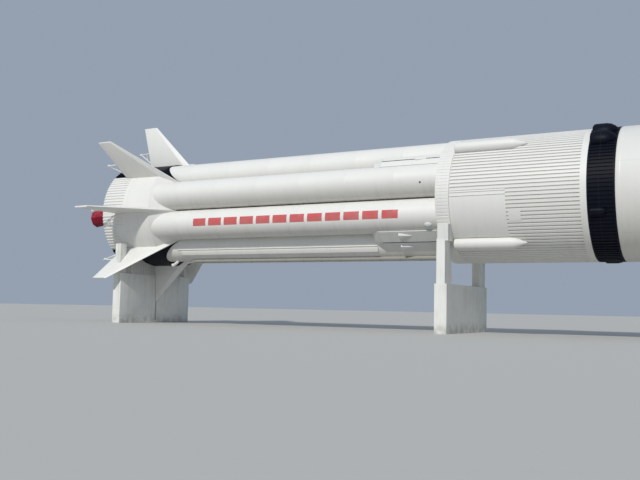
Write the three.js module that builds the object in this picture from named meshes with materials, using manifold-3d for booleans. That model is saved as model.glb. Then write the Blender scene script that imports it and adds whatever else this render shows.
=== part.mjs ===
// A clustered-tank space rocket, shown lying level on four piers, at 1:2 of full size.
// Millimetres, +Z up, +X towards the nose, -Y towards the viewer's side.
// Stations run forward along the rocket's axis from the plane of the engine exits.
// Azimuths run round that axis from the top, by way of the viewer's side.

import * as THREE from 'three';
import { mergeVertices } from 'three/addons/utils/BufferGeometryUtils.js';
import Module from 'manifold-3d';

const wasm = await Module();
wasm.setup();

// Scale: every driving size below is a full-size length in metres.
const SCALE = 0.5;
const m = (metres) => metres * 1000 * SCALE;
const deg = (degrees) => degrees * Math.PI / 180;

// Clearance between touching pieces, in model millimetres.
const GAP = 0.3;

// Stations along the axis.
const STATION = {
  exit: m(0),
  rim: m(1.22),
  shield: m(1.31),
  gimbal: m(2.54),
  thrustAft: m(2.95),
  tankAft: m(4.66),
  shoulder: m(5.0),
  toothTip: m(6.4),
  collar: m(23.70),
  interstage: m(24.44),
  band: m(31.09),
  upperTank: m(32.32),
  upperSkirt: m(39.14),
  instruments: m(42.24),
  adapter: m(43.15),
  service: m(51.69),
  capsule: m(55.63),
  towerBase: m(58.62),
  motorAft: m(61.65),
  noseTip: m(68.28),
};

// Radii about the rocket's axis.
const RADIUS = {
  shroud: m(3.29),
  shroudWall: m(0.075),
  toothTip: m(2.37),
  toothInside: m(2.0),
  stage: m(3.302),
  service: m(1.955),
  finTip: m(6.04),
};

// Height of the rocket's axis over the ground.
const AXIS_HEIGHT = m(7.0);

// First-stage tank cluster.
const CENTRE_TANK_RADIUS = m(1.3335);
const OUTER_TANK_RADIUS = m(0.889);
const OUTER_TANK_CIRCLE = m(2.375);
const OUTER_TANK_COUNT = 8;
const TANK_LETTERS = 'abcdefgh';

// Facets of round forms.
const FACETS = { stage: 72, tank: 32, nozzle: 20, small: 16 };

// Engines. The one on the viewer's side hangs down at the lower stop of its gimbal.
const ENGINE = {
  length: m(2.5),
  exitRadius: m(0.47),
  wall: m(0.03),
  outboardCircle: m(2.413),
  outboardCant: deg(6),
  inboardCircle: m(0.813),
  inboardCant: deg(3),
  droop: deg(8),
  pumpRadius: m(0.19),
  pumpReach: m(0.5),
};

const COLOURS = {
  white: 0xe9e8e3,
  black: 0x1d1d20,
  grey: 0xa9a9a5,
  metal: 0x8d8d8b,
  red: 0x9c1524,
  concrete: 0xd5d4cd,
};

function finish(colour, roughness = 0.5, metalness = 0) {
  return new THREE.MeshStandardMaterial({ color: COLOURS[colour], roughness, metalness });
}

// Turning three.js geometry into exact solids and back.
function signedVolume(position, corners) {
  const [a, b, c] = [0, 1, 2].map(() => new THREE.Vector3());
  let sum = 0;
  for (let i = 0; i < corners.length; i += 3) {
    a.fromBufferAttribute(position, corners[i]);
    b.fromBufferAttribute(position, corners[i + 1]);
    c.fromBufferAttribute(position, corners[i + 2]);
    sum += a.dot(b.cross(c));
  }
  return sum / 6;
}

function closed(geometry) {
  const bare = geometry.index ? geometry.toNonIndexed() : geometry.clone();
  for (const name of Object.keys(bare.attributes)) {
    if (name !== 'position') bare.deleteAttribute(name);
  }
  const merged = mergeVertices(bare, 1e-3);
  const corners = Array.from(merged.index.array);
  const kept = [];
  for (let i = 0; i < corners.length; i += 3) {
    const [a, b, c] = corners.slice(i, i + 3);
    if (a !== b && b !== c && c !== a) kept.push(a, b, c);
  }
  merged.setIndex(signedVolume(merged.attributes.position, kept) < 0 ? kept.reverse() : kept);
  return merged;
}

function solidOf(geometry) {
  const shell = closed(geometry);
  return new wasm.Manifold(new wasm.Mesh({
    numProp: 3,
    vertProperties: new Float32Array(shell.attributes.position.array),
    triVerts: new Uint32Array(shell.index.array),
  }));
}

function geometryOf(solid) {
  const mesh = solid.getMesh();
  const geometry = new THREE.BufferGeometry();
  geometry.setAttribute('position', new THREE.BufferAttribute(new Float32Array(mesh.vertProperties), 3));
  geometry.setIndex(Array.from(mesh.triVerts));
  return geometry;
}

// Basic forms, all lying along the rocket's axis.
function lathe(profile, facets) {
  const points = profile.map(([station, radius]) => new THREE.Vector2(radius, station));
  return new THREE.LatheGeometry(points, facets).rotateZ(-Math.PI / 2);
}

function cylinder(from, to, radius, facets) {
  return lathe([[from, 0], [from, radius], [to, radius], [to, 0]], facets);
}

function box(low, high) {
  const size = high.map((value, i) => value - low[i]);
  const middle = high.map((value, i) => (value + low[i]) / 2);
  return new THREE.BoxGeometry(...size).translate(...middle);
}

// A prism along the axis, whose outline is a ring of [azimuth in degrees, radius] points.
function prism(outline, from, to) {
  const shape = new THREE.Shape(outline.map(([azimuth, radius]) => (
    new THREE.Vector2(-radius * Math.cos(deg(azimuth)), -radius * Math.sin(deg(azimuth)))
  )));
  return new THREE.ExtrudeGeometry(shape, { depth: to - from, bevelEnabled: false })
    .rotateY(Math.PI / 2)
    .translate(from, 0, 0);
}

// One rib of a skirt's skin: the share of the pitch, and the depth under the crest.
const RIB = {
  broad: [
    { share: 0, depth: 0 },
    { share: 0.45, depth: 0 },
    { share: 0.55, depth: m(0.045) },
    { share: 0.9, depth: m(0.045) },
  ],
  fine: [
    { share: 0, depth: 0 },
    { share: 0.5, depth: m(0.03) },
  ],
};

// A skirt with ribs along it, all round.
function ribbedTube(from, to, rib, count) {
  const outline = [];
  for (let i = 0; i < count; i += 1) {
    for (const { share, depth } of rib) {
      outline.push([(i + share) * 360 / count, RADIUS.stage - depth]);
    }
  }
  return prism(outline, from, to);
}

// A closed loft between two outlines that have the same number of corners.
function loft(first, last) {
  const count = first.length;
  const position = [...first, ...last].flat();
  const index = [];
  for (let i = 0; i < count; i += 1) {
    const j = (i + 1) % count;
    index.push(i, j, count + j, i, count + j, count + i);
    if (i > 0 && j > 0) {
      index.push(0, j, i, count, count + i, count + j);
    }
  }
  const geometry = new THREE.BufferGeometry();
  geometry.setAttribute('position', new THREE.Float32BufferAttribute(position, 3));
  geometry.setIndex(index);
  return geometry;
}

// The scene graph: everything on the rocket hangs from its axis.
const model = new THREE.Group();
const rocket = new THREE.Group();
rocket.position.z = AXIS_HEIGHT;
model.add(rocket);

function piece(name, geometry, material, parent = rocket) {
  const mesh = new THREE.Mesh(geometry, material);
  mesh.name = name;
  parent.add(mesh);
  return mesh;
}

// A group that is turned to an azimuth, so that what it holds points outwards there.
function spoke(azimuth, parent = rocket) {
  const group = new THREE.Group();
  group.rotation.x = azimuth;
  parent.add(group);
  return group;
}

// First-stage tanks.
function outerTankAt(azimuth, grow = 0) {
  const tank = cylinder(STATION.tankAft, STATION.collar + m(1), OUTER_TANK_RADIUS + grow, FACETS.tank);
  return tank.translate(0, 0, OUTER_TANK_CIRCLE).rotateX(azimuth);
}

const OUTER_TANK_AZIMUTHS = Array.from({ length: OUTER_TANK_COUNT }, (_, i) => deg(22.5 + 45 * i));

function clusterOfTanks(grow) {
  return OUTER_TANK_AZIMUTHS.map((azimuth) => solidOf(outerTankAt(azimuth, grow)))
    .reduce((sum, tank) => sum.add(tank));
}

function addTanks() {
  const from = STATION.tankAft + GAP;
  const to = STATION.collar - GAP;
  piece('centre_tank', cylinder(from, to, CENTRE_TANK_RADIUS, FACETS.tank), finish('white'));
  OUTER_TANK_AZIMUTHS.forEach((azimuth, i) => {
    const tank = piece(
      `outer_tank_${TANK_LETTERS[i]}`,
      cylinder(from, to, OUTER_TANK_RADIUS, FACETS.tank),
      finish('white'),
      spoke(azimuth),
    );
    tank.position.z = OUTER_TANK_CIRCLE;
  });
}

// The gimbal is a cross block held by two frame ears across it and by two engine ears along it.
const GIMBAL = {
  half: m(0.06),
  earThick: m(0.04),
  earHalf: m(0.05),
  overlap: m(0.04),
  plateRadius: m(0.2),
  engineTop: m(0.17),
};
const EAR_SPANS = [1, -1].map((side) => {
  const ends = [side * (GIMBAL.half + GAP), side * (GIMBAL.half + GAP + GIMBAL.earThick)];
  return [Math.min(...ends), Math.max(...ends)];
});

function atOutboardGimbal(solid) {
  return solid.rotate([0, ENGINE.outboardCant * 180 / Math.PI, 0])
    .translate([STATION.gimbal, 0, ENGINE.outboardCircle]);
}

// Tail: thrust frame with its gimbal brackets, shroud with teeth in the tank valleys, heat shield.
function gimbalBracket() {
  const { earHalf, overlap, plateRadius } = GIMBAL;
  const reach = STATION.thrustAft - STATION.gimbal;
  const plate = solidOf(cylinder(reach - m(0.14), reach + m(0.1), plateRadius, FACETS.small));
  const ears = EAR_SPANS.map(([low, high]) => (
    solidOf(box([-overlap, low, -earHalf], [reach - m(0.12), high, earHalf]))
  ));
  return atOutboardGimbal(plate.add(ears[0]).add(ears[1]));
}

function addThrustFrame() {
  const inner = RADIUS.shroud - RADIUS.shroudWall - GAP;
  let frame = solidOf(cylinder(STATION.thrustAft, STATION.tankAft, inner, FACETS.stage));
  for (let i = 0; i < 4; i += 1) {
    frame = frame.add(gimbalBracket().rotate([90 * i, 0, 0]));
  }
  piece('thrust_frame', geometryOf(frame), finish('grey'));
}

function shroudEnvelope(grow = 0) {
  return solidOf(lathe([
    [STATION.rim, 0],
    [STATION.rim, RADIUS.shroud + grow],
    [STATION.shoulder + grow / 2, RADIUS.shroud + grow],
    [STATION.toothTip + grow, RADIUS.toothTip + grow],
    [STATION.toothTip + grow, 0],
  ], FACETS.stage));
}

function wedge(halfAngle, inset) {
  const reach = RADIUS.finTip;
  const side = reach * Math.tan(halfAngle);
  const tip = inset / Math.sin(halfAngle);
  const outline = (x) => [[x, 0, tip], [x, side, reach + tip], [x, -side, reach + tip]];
  return solidOf(loft(outline(STATION.exit), outline(STATION.toothTip + m(1))));
}

// Ribs stand on the shroud round its rim. They pass beside the fins and end short of the tail pier.
const SHROUD_RIB = {
  perQuadrant: 27,
  finHalfAngle: 2,
  halfWidth: m(0.03),
  height: m(0.045),
  sink: m(0.02),
  to: m(2.9),
  pier: { from: 105, until: 255, to: m(2.4) },
};

function shroudRib(turn, azimuth) {
  const { halfWidth, height, sink, to, pier } = SHROUD_RIB;
  const end = azimuth > pier.from && azimuth < pier.until ? pier.to : to;
  return solidOf(box(
    [STATION.rim, -halfWidth, RADIUS.shroud - sink],
    [end, halfWidth, RADIUS.shroud + height],
  ).rotateX(deg(turn)));
}

function addShroud() {
  const inner = RADIUS.shroud - RADIUS.shroudWall;
  const bore = solidOf(cylinder(STATION.exit, STATION.tankAft, inner, FACETS.stage));
  const core = solidOf(cylinder(STATION.exit, STATION.toothTip + m(1), RADIUS.toothInside, FACETS.stage));
  const shell = shroudEnvelope().subtract(bore).subtract(core).subtract(clusterOfTanks(2 * GAP));
  const quadrant = shell.intersect(wedge(deg(45), GAP / 2));
  const paint = { top: 'black', near: 'white', bottom: 'black', far: 'white' };
  Object.keys(paint).forEach((side, i) => {
    let ribbed = quadrant;
    for (let k = 1; k < SHROUD_RIB.perQuadrant; k += 1) {
      const turn = 90 * k / SHROUD_RIB.perQuadrant - 45;
      if (Math.abs(turn) > SHROUD_RIB.finHalfAngle) ribbed = ribbed.add(shroudRib(turn, 90 * i + turn));
    }
    piece(`tail_shroud_${side}`, geometryOf(ribbed), finish(paint[side]), spoke(deg(90 * i)));
  });
}

function addHeatShield() {
  const inner = RADIUS.shroud - RADIUS.shroudWall - GAP;
  let shield = solidOf(cylinder(STATION.shield, STATION.shield + m(0.09), inner, FACETS.stage));
  const holes = [
    { circle: m(2.54), radius: m(0.73), start: 0 },
    { circle: m(0.875), radius: m(0.42), start: 45 },
  ];
  for (const { circle, radius, start } of holes) {
    for (let i = 0; i < 4; i += 1) {
      const hole = cylinder(STATION.exit, STATION.gimbal, radius, FACETS.small);
      shield = shield.subtract(solidOf(hole.translate(0, 0, circle).rotateX(deg(start + 90 * i))));
    }
  }
  piece('heat_shield', geometryOf(shield), finish('grey', 0.7));
}

// Engines. Local frame: the gimbal is the origin, the exit lies at -X, outwards is +Z.
const NOZZLE = [
  { aft: m(0.93), radius: m(0.2) },
  { aft: m(1.2), radius: m(0.28) },
  { aft: m(1.7), radius: m(0.375) },
  { aft: ENGINE.length, radius: ENGINE.exitRadius },
];

function engineBody(pumpSide) {
  const outside = NOZZLE.map(({ aft, radius }) => [-aft, radius]).reverse();
  const inside = NOZZLE.map(({ aft, radius }) => [-aft, radius - ENGINE.wall]);
  const shell = [
    [-NOZZLE[0].aft + m(0.02), 0],
    ...inside,
    ...outside,
    [-m(0.68), m(0.27)],
    [-m(0.24), m(0.27)],
    [-m(0.17), m(0.17)],
    [-m(0.17), 0],
  ];
  const pump = cylinder(-m(0.72), -m(0.3), ENGINE.pumpRadius, FACETS.small)
    .translate(0, pumpSide * ENGINE.pumpReach, 0);
  const link = box(
    [-m(0.6), Math.min(0, pumpSide * ENGINE.pumpReach), -m(0.1)],
    [-m(0.42), Math.max(0, pumpSide * ENGINE.pumpReach), m(0.1)],
  );
  return solidOf(lathe(shell, FACETS.nozzle)).add(solidOf(pump)).add(solidOf(link));
}

// A frame on the outboard gimbal at an azimuth, canted as the engine is.
function outboardFrame(azimuth) {
  const frame = new THREE.Group();
  frame.position.set(STATION.gimbal, 0, ENGINE.outboardCircle);
  frame.rotation.y = ENGINE.outboardCant;
  spoke(azimuth).add(frame);
  return frame;
}

function addOutboardEngines() {
  const { half, earHalf, overlap, engineTop } = GIMBAL;
  const ears = EAR_SPANS.map(([low, high]) => (
    solidOf(box([-engineTop - m(0.03), -earHalf, low], [overlap, earHalf, high]))
  ));
  const engine = geometryOf(engineBody(1).add(ears[0]).add(ears[1]));
  ['top', 'near', 'bottom', 'far'].forEach((side, i) => {
    const frame = outboardFrame(deg(90 * i));
    const hung = piece(`outboard_engine_${side}`, engine, finish('metal', 0.4, 0.8), frame);
    hung.rotation.z = side === 'near' ? ENGINE.droop : 0;
    piece(`gimbal_block_${side}`, box([-half, -half, -half], [half, half, half]),
      finish('metal', 0.4, 0.8), frame);
  });
}

function addInboardEngines() {
  for (let i = 0; i < 4; i += 1) {
    const cant = ENGINE.inboardCant * 180 / Math.PI;
    const stem = solidOf(cylinder(-m(0.2), m(0.6), m(0.15), FACETS.small));
    const front = solidOf(box(
      [STATION.thrustAft - GAP, -m(2), -m(2)],
      [STATION.thrustAft + m(2), m(2), m(4)],
    ));
    const engine = engineBody(1).add(stem).rotate([0, cant, 0])
      .translate([STATION.gimbal, 0, ENGINE.inboardCircle])
      .subtract(front);
    piece(`inboard_engine_${i + 1}`, geometryOf(engine), finish('metal', 0.4, 0.8),
      spoke(deg(45 + 90 * i)));
  }
}

// The eight-sided cover that closes the viewer's-side engine.
const COVER = { from: m(1.55), beyond: m(0.05), radius: m(0.545), edge: m(0.04) };

function addEngineCover() {
  const end = -ENGINE.length - COVER.beyond;
  const can = solidOf(lathe([
    [end, 0],
    [end, COVER.radius - COVER.edge],
    [end + COVER.edge, COVER.radius],
    [-COVER.from, COVER.radius],
    [-COVER.from, 0],
  ], 8));
  const bell = NOZZLE.map(({ aft, radius }) => [-aft, radius + GAP]).reverse();
  const plug = solidOf(lathe([
    [-ENGINE.length - GAP, 0],
    [-ENGINE.length - GAP, ENGINE.exitRadius + GAP],
    ...bell,
    [-NOZZLE[0].aft, 0],
  ], FACETS.nozzle));
  const cover = piece('engine_cover', geometryOf(can.subtract(plug)), finish('red'),
    outboardFrame(deg(90)));
  cover.rotation.z = ENGINE.droop;
}

// Fins. The chord shrinks from root to tip; the sides are flat, with a bevelled leading edge.
const FIN = {
  root: { radius: m(2.45), trailing: m(2.59), leading: m(6.35), thick: m(0.37) },
  tip: { radius: RADIUS.finTip, trailing: m(1.57), leading: m(2.61), thick: m(0.11) },
  ridge: 0.85,
  trailingShare: 0.85,
  leadingShare: 0.12,
};

function finOutline({ radius, trailing, leading, thick }, grow = 0) {
  const ridge = trailing + (leading - trailing) * FIN.ridge;
  const half = thick / 2 + grow;
  return [
    [trailing - grow, half * FIN.trailingShare, radius],
    [ridge, half, radius],
    [leading + grow, half * FIN.leadingShare, radius],
    [leading + grow, -half * FIN.leadingShare, radius],
    [ridge, -half, radius],
    [trailing - grow, -half * FIN.trailingShare, radius],
  ];
}

function finBlade(grow = 0) {
  const tip = { ...FIN.tip, radius: FIN.tip.radius + grow };
  return solidOf(loft(finOutline(FIN.root, grow), finOutline(tip, grow)));
}

// A hold-down bracket stands aft of each fin, in its plane: two arms that meet in a pad.
const HOLD_DOWN = {
  apex: { station: m(1.33), radius: m(4.27) },
  feet: [{ station: m(2.15), radius: m(4.33) }, { station: m(2.36), radius: m(3.5) }],
  arm: m(0.04),
  pad: m(0.07),
};

function holdDown() {
  const { apex, feet, arm, pad } = HOLD_DOWN;
  const at = ({ station, radius }) => [station, 0, radius];
  const block = solidOf(box([-pad, -pad, -pad], [pad, pad, pad]).translate(...at(apex)));
  return feet.reduce((sum, foot) => sum.add(strut(at(apex), at(foot), arm)), block);
}

// The tail pier's posts pass through slots in the two lower side fins.
function addFins() {
  const seated = finBlade().add(holdDown())
    .subtract(shroudEnvelope(GAP * 2))
    .subtract(clusterOfTanks(2 * GAP));
  const plain = geometryOf(seated);
  const slotted = (azimuth, side) => {
    const post = pierPost(PIERS[0], side, POST.slotGap).translate([0, 0, -AXIS_HEIGHT]);
    return geometryOf(seated.subtract(post.rotate([-azimuth, 0, 0])));
  };
  for (let i = 0; i < 8; i += 1) {
    const azimuth = 45 * i;
    const side = { 135: -1, 225: 1 }[azimuth];
    piece(`fin_${i + 1}`, side ? slotted(azimuth, side) : plain, finish('white'), spoke(deg(azimuth)));
  }
}

// Interstage: ribbed, with a smooth panel on the viewer's side and four retro motor fairings.
const INTERSTAGE = { ribs: 108, panel: { from: m(24.46), to: m(27.3), first: 88, last: 131, step: 4.3 } };
const RETRO = {
  from: m(24.46),
  nose: m(27.45),
  to: m(28.14),
  radius: m(0.31),
  tip: m(0.04),
  rise: m(0.06),
  azimuths: [43, 137, 223, 317],
};

function addInterstage() {
  const { panel } = INTERSTAGE;
  const sector = [[0, 0]];
  for (let azimuth = panel.first; azimuth <= panel.last; azimuth += panel.step) {
    sector.push([azimuth, RADIUS.stage]);
  }
  let body = solidOf(ribbedTube(STATION.interstage, STATION.band - GAP, RIB.broad, INTERSTAGE.ribs))
    .add(solidOf(prism(sector, panel.from, panel.to)));
  const fairing = lathe([
    [RETRO.from, 0],
    [RETRO.from, RETRO.radius],
    [RETRO.nose, RETRO.radius],
    [RETRO.to, RETRO.tip],
    [RETRO.to, 0],
  ], FACETS.small).translate(0, 0, RADIUS.stage + RETRO.rise);
  for (const azimuth of RETRO.azimuths) {
    body = body.add(solidOf(fairing.clone().rotateX(deg(azimuth))));
  }
  piece('interstage', geometryOf(body), finish('white'));
}

// Aft skirt of the second stage, with three small ullage motor fairings that point forwards.
const ULLAGE = {
  from: m(31.2),
  nose: m(31.75),
  to: m(31.96),
  radius: m(0.16),
  tip: m(0.02),
  rise: m(0.04),
  azimuths: [110, 238, 350],
};

function addAftSkirt() {
  const { from, nose, to, radius, tip, rise, azimuths } = ULLAGE;
  let band = solidOf(ribbedTube(STATION.band, STATION.upperTank - GAP, RIB.fine, INTERSTAGE.ribs));
  const fairing = lathe([[from, 0], [from, radius], [nose, radius], [to, tip], [to, 0]], FACETS.small)
    .translate(0, 0, RADIUS.stage + rise);
  for (const azimuth of azimuths) {
    band = band.add(solidOf(fairing.clone().rotateX(deg(azimuth))));
  }
  piece('aft_skirt', geometryOf(band), finish('black'));
}

// Attitude control modules: two lobes side by side, blunt aft and pointed forwards.
const MODULE = {
  from: m(31.12),
  shoulder: m(31.75),
  to: m(32.28),
  halfWidth: m(0.46),
  lip: { length: m(0.12), share: 0.8 },
  noseShare: 0.15,
  flatten: 0.7,
  azimuths: [35, 215],
  lobes: [-7.8, 7.8],
};

// A ribbed skin's crests lie on its radius, so a faceted seat on them has its flats there.
function seatOn(radius) {
  return (radius + GAP) / Math.cos(Math.PI / FACETS.stage);
}

function addAttitudeModules() {
  const { from, shoulder, to, halfWidth, lip, noseShare, flatten, azimuths, lobes } = MODULE;
  const skin = cylinder(STATION.band - m(1), STATION.upperSkirt, seatOn(RADIUS.stage), FACETS.stage);
  const lobe = lathe([
    [from, 0],
    [from, halfWidth * lip.share],
    [from + lip.length, halfWidth],
    [shoulder, halfWidth],
    [to, halfWidth * noseShare],
    [to, 0],
  ], FACETS.small).scale(1, 1, flatten).translate(0, 0, RADIUS.stage);
  const shell = lobes.map((turn) => solidOf(lobe.clone().rotateX(deg(turn))))
    .reduce((sum, next) => sum.add(next))
    .subtract(solidOf(skin));
  azimuths.forEach((azimuth, i) => {
    piece(`attitude_module_${i + 1}`, geometryOf(shell), finish('black'), spoke(deg(azimuth)));
  });
}

// Second stage, instrument ring, adapter and spacecraft.
const COLLAR_RIBS = 120;

function addUpperBody() {
  piece('forward_collar', ribbedTube(STATION.collar, STATION.interstage - GAP, RIB.fine, COLLAR_RIBS),
    finish('white'));
  piece('upper_tank', cylinder(STATION.upperTank, STATION.upperSkirt - GAP, RADIUS.stage, FACETS.stage),
    finish('white'));
  const skirt = ribbedTube(STATION.upperSkirt, STATION.instruments - GAP, RIB.fine, INTERSTAGE.ribs);
  piece('forward_skirt', skirt, finish('white'));
  piece('instrument_ring', cylinder(STATION.instruments, STATION.adapter - GAP, RADIUS.stage, FACETS.stage),
    finish('white'));
  piece('spacecraft_adapter', lathe([
    [STATION.adapter, 0],
    [STATION.adapter, RADIUS.stage],
    [STATION.service - GAP, RADIUS.service],
    [STATION.service - GAP, 0],
  ], FACETS.stage), finish('white'));
}

const QUAD = {
  station: m(54.1),
  halfLength: m(0.45),
  halfWidth: m(0.35),
  height: m(0.14),
  arm: m(0.4),
  thick: m(0.14),
};

function addServiceModule() {
  let body = solidOf(cylinder(STATION.service, STATION.capsule - GAP, RADIUS.service, FACETS.stage));
  const { station, halfLength, halfWidth, height, arm, thick } = QUAD;
  const base = RADIUS.service;
  const level = base + height + thick / 4;
  const plate = box(
    [station - halfLength, -halfWidth, base - m(0.2)],
    [station + halfLength, halfWidth, base + height],
  );
  const arms = [
    cylinder(station - arm, station + arm, thick / 2, 12).translate(0, 0, level),
    cylinder(-arm, arm, thick / 2, 12).rotateZ(Math.PI / 2).translate(station, 0, level),
  ];
  for (const azimuth of [0, 90, 180, 270]) {
    for (const form of [plate, ...arms]) {
      body = body.add(solidOf(form.clone().rotateX(deg(azimuth))));
    }
  }
  piece('service_module', geometryOf(body), finish('metal', 0.4, 0.6));
}

function addCapsule() {
  piece('capsule_cover', lathe([
    [STATION.capsule, 0],
    [STATION.capsule, RADIUS.service],
    [STATION.capsule + m(0.12), RADIUS.service],
    [STATION.towerBase - m(0.25), m(0.62)],
    [STATION.towerBase, m(0.4)],
    [STATION.towerBase, 0],
  ], FACETS.tank), finish('white'));
}

// Escape tower: four tapering legs with rings of bracing, under a solid motor.
const TOWER = {
  foot: m(58.05),
  head: STATION.motorAft - m(0.06),
  footHalf: m(0.58),
  headHalf: m(0.32),
  leg: m(0.045),
  bays: 3,
};

function strut(from, to, radius) {
  const a = new THREE.Vector3(...from);
  const b = new THREE.Vector3(...to);
  const rod = new THREE.CylinderGeometry(radius, radius, a.distanceTo(b), 6);
  const along = b.clone().sub(a).normalize();
  rod.applyQuaternion(new THREE.Quaternion().setFromUnitVectors(new THREE.Vector3(0, 1, 0), along));
  const middle = a.add(b).multiplyScalar(0.5);
  return solidOf(rod.translate(middle.x, middle.y, middle.z));
}

// A point on a leg, at a level counted in bays from the foot.
function towerCorner(level, corner) {
  const share = level / TOWER.bays;
  const half = TOWER.footHalf + (TOWER.headHalf - TOWER.footHalf) * share;
  const x = TOWER.foot + (TOWER.head - TOWER.foot) * share;
  const turn = deg(45 + 90 * corner);
  return [x, half * Math.SQRT2 * Math.sin(turn), half * Math.SQRT2 * Math.cos(turn)];
}

function addTower() {
  const struts = [];
  for (let corner = 0; corner < 4; corner += 1) {
    const next = (corner + 1) % 4;
    struts.push(strut(towerCorner(0, corner), towerCorner(TOWER.bays, corner), TOWER.leg));
    for (let level = 0; level < TOWER.bays; level += 1) {
      const slim = TOWER.leg * 0.6;
      if (level > 0) struts.push(strut(towerCorner(level, corner), towerCorner(level, next), slim));
      struts.push(strut(towerCorner(level + 0.1, corner), towerCorner(level + 0.9, next), slim));
    }
  }
  const head = solidOf(cylinder(STATION.motorAft - m(0.1), STATION.motorAft - GAP, m(0.5), 24));
  const cover = solidOf(lathe([
    [STATION.capsule, 0],
    [STATION.capsule, RADIUS.service + GAP],
    [STATION.capsule + m(0.12), RADIUS.service + GAP],
    [STATION.towerBase - m(0.25), m(0.62) + GAP],
    [STATION.towerBase + GAP, m(0.4) + GAP],
    [STATION.towerBase + GAP, 0],
  ], FACETS.tank));
  const truss = struts.reduce((sum, rod) => sum.add(rod)).add(head).subtract(cover);
  piece('escape_tower', geometryOf(truss), finish('white'));
}

function addEscapeMotor() {
  piece('escape_motor', lathe([
    [STATION.motorAft, 0],
    [STATION.motorAft, m(0.62)],
    [STATION.motorAft + m(0.35), m(0.6)],
    [STATION.motorAft + m(0.75), m(0.33)],
    [STATION.motorAft + m(4.7), m(0.33)],
    [STATION.noseTip - m(0.9), m(0.33)],
    [STATION.noseTip - m(0.25), m(0.14)],
    [STATION.noseTip, m(0.05)],
    [STATION.noseTip, 0],
  ], FACETS.nozzle), finish('white'));
}

// Runs along the tanks: the feed conduit, and the fairings in the tank valleys.
const CONDUIT = { from: m(6.9), nose: m(0.35), azimuth: 157.5, radius: m(0.13), rise: m(0.05) };
const VALLEY = {
  from: m(19.85),
  slant: m(0.5),
  radius: m(3.1),
  ridge: m(0.07),
  depth: m(0.36),
  rows: [
    { side: 'upper_near', azimuth: 49.5, halfWidth: m(0.36) },
    { side: 'lower_near', azimuth: 136.5, halfWidth: m(0.7) },
    { side: 'lower_far', azimuth: 223.5, halfWidth: m(0.7) },
    { side: 'upper_far', azimuth: 310.5, halfWidth: m(0.36) },
  ],
};

function addConduit() {
  const { from, nose, azimuth, radius, rise } = CONDUIT;
  const tank = solidOf(cylinder(STATION.tankAft, STATION.interstage, OUTER_TANK_RADIUS + GAP, FACETS.tank));
  const bar = solidOf(lathe([
    [from, 0],
    [from + nose, radius],
    [STATION.collar - GAP, radius],
    [STATION.collar - GAP, 0],
  ], FACETS.small).translate(0, 0, OUTER_TANK_RADIUS + rise));
  const conduit = piece('tank_conduit', geometryOf(bar.subtract(tank)), finish('white'),
    spoke(deg(azimuth)));
  conduit.position.z = OUTER_TANK_CIRCLE;
}

// Each fairing is two flat faces that meet in a low ridge, cut to sit on the two tanks beside it.
function addValleyFairings() {
  const { from, slant, radius, ridge, depth, rows } = VALLEY;
  const to = STATION.collar - GAP;
  for (const { side, azimuth, halfWidth } of rows) {
    const across = (station, crown) => [
      [station, -halfWidth, radius - depth],
      [station, halfWidth, radius - depth],
      [station, halfWidth, crown],
      [station, 0, crown + ridge],
      [station, -halfWidth, crown],
    ];
    const panel = solidOf(loft(across(from, radius - depth / 2), across(from + slant, radius)))
      .add(solidOf(loft(across(from + slant, radius), across(to, radius))))
      .subtract(clusterOfTanks(GAP).rotate([-azimuth, 0, 0]));
    piece(`valley_fairing_${side}`, geometryOf(panel), finish('grey'), spoke(deg(azimuth)));
  }
}

// Piers: a cross wall with a post at each end that reaches up to the rocket.
const PIERS = [
  { name: 'pier_tail', from: m(2.46), to: m(3.06), half: m(3.4), wall: m(3.1), post: m(4.95),
    seat: RADIUS.shroud + GAP, saddle: { inset: m(0.05), half: m(2.45), top: m(4.9) } },
  { name: 'pier_stage', from: m(23.72), to: m(24.37), half: m(3.3), wall: m(2.5), post: m(4.75),
    seat: seatOn(RADIUS.stage), chock: m(5.5) },
  { name: 'pier_forward', from: m(41.4), to: m(42.05), half: m(3.3), wall: m(2.5), post: m(4.75),
    seat: seatOn(RADIUS.stage), chock: m(5.5) },
  { name: 'pier_spacecraft', from: m(52.6), to: m(53.2), half: m(2.1), wall: m(3.9), post: m(5.75),
    seat: RADIUS.service + GAP },
];
const POST = { thick: m(0.45), width: m(0.95), slotGap: m(0.01) };

// A chock stands on each post and reaches up the stage's side.
const CHOCK = { aft: m(0.13), fore: m(0.05), width: m(0.7) };

// The tail pier is two leaves on one footing. The lowest fin hangs in a slot between them.
const LEAVES = { halfGap: m(0.06), footing: m(0.15), finGap: m(0.03) };

function pierPost({ from, to, half, post }, side, grow = 0) {
  const middle = (from + to) / 2;
  const across = [side * (half - POST.width), side * half];
  return solidOf(box(
    [middle - POST.thick / 2 - grow, Math.min(...across) - grow, 0],
    [middle + POST.thick / 2 + grow, Math.max(...across) + grow, post],
  ));
}

function finAt(azimuth, grow) {
  return finBlade(grow).rotate([azimuth, 0, 0]).translate([0, 0, AXIS_HEIGHT]);
}

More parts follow.
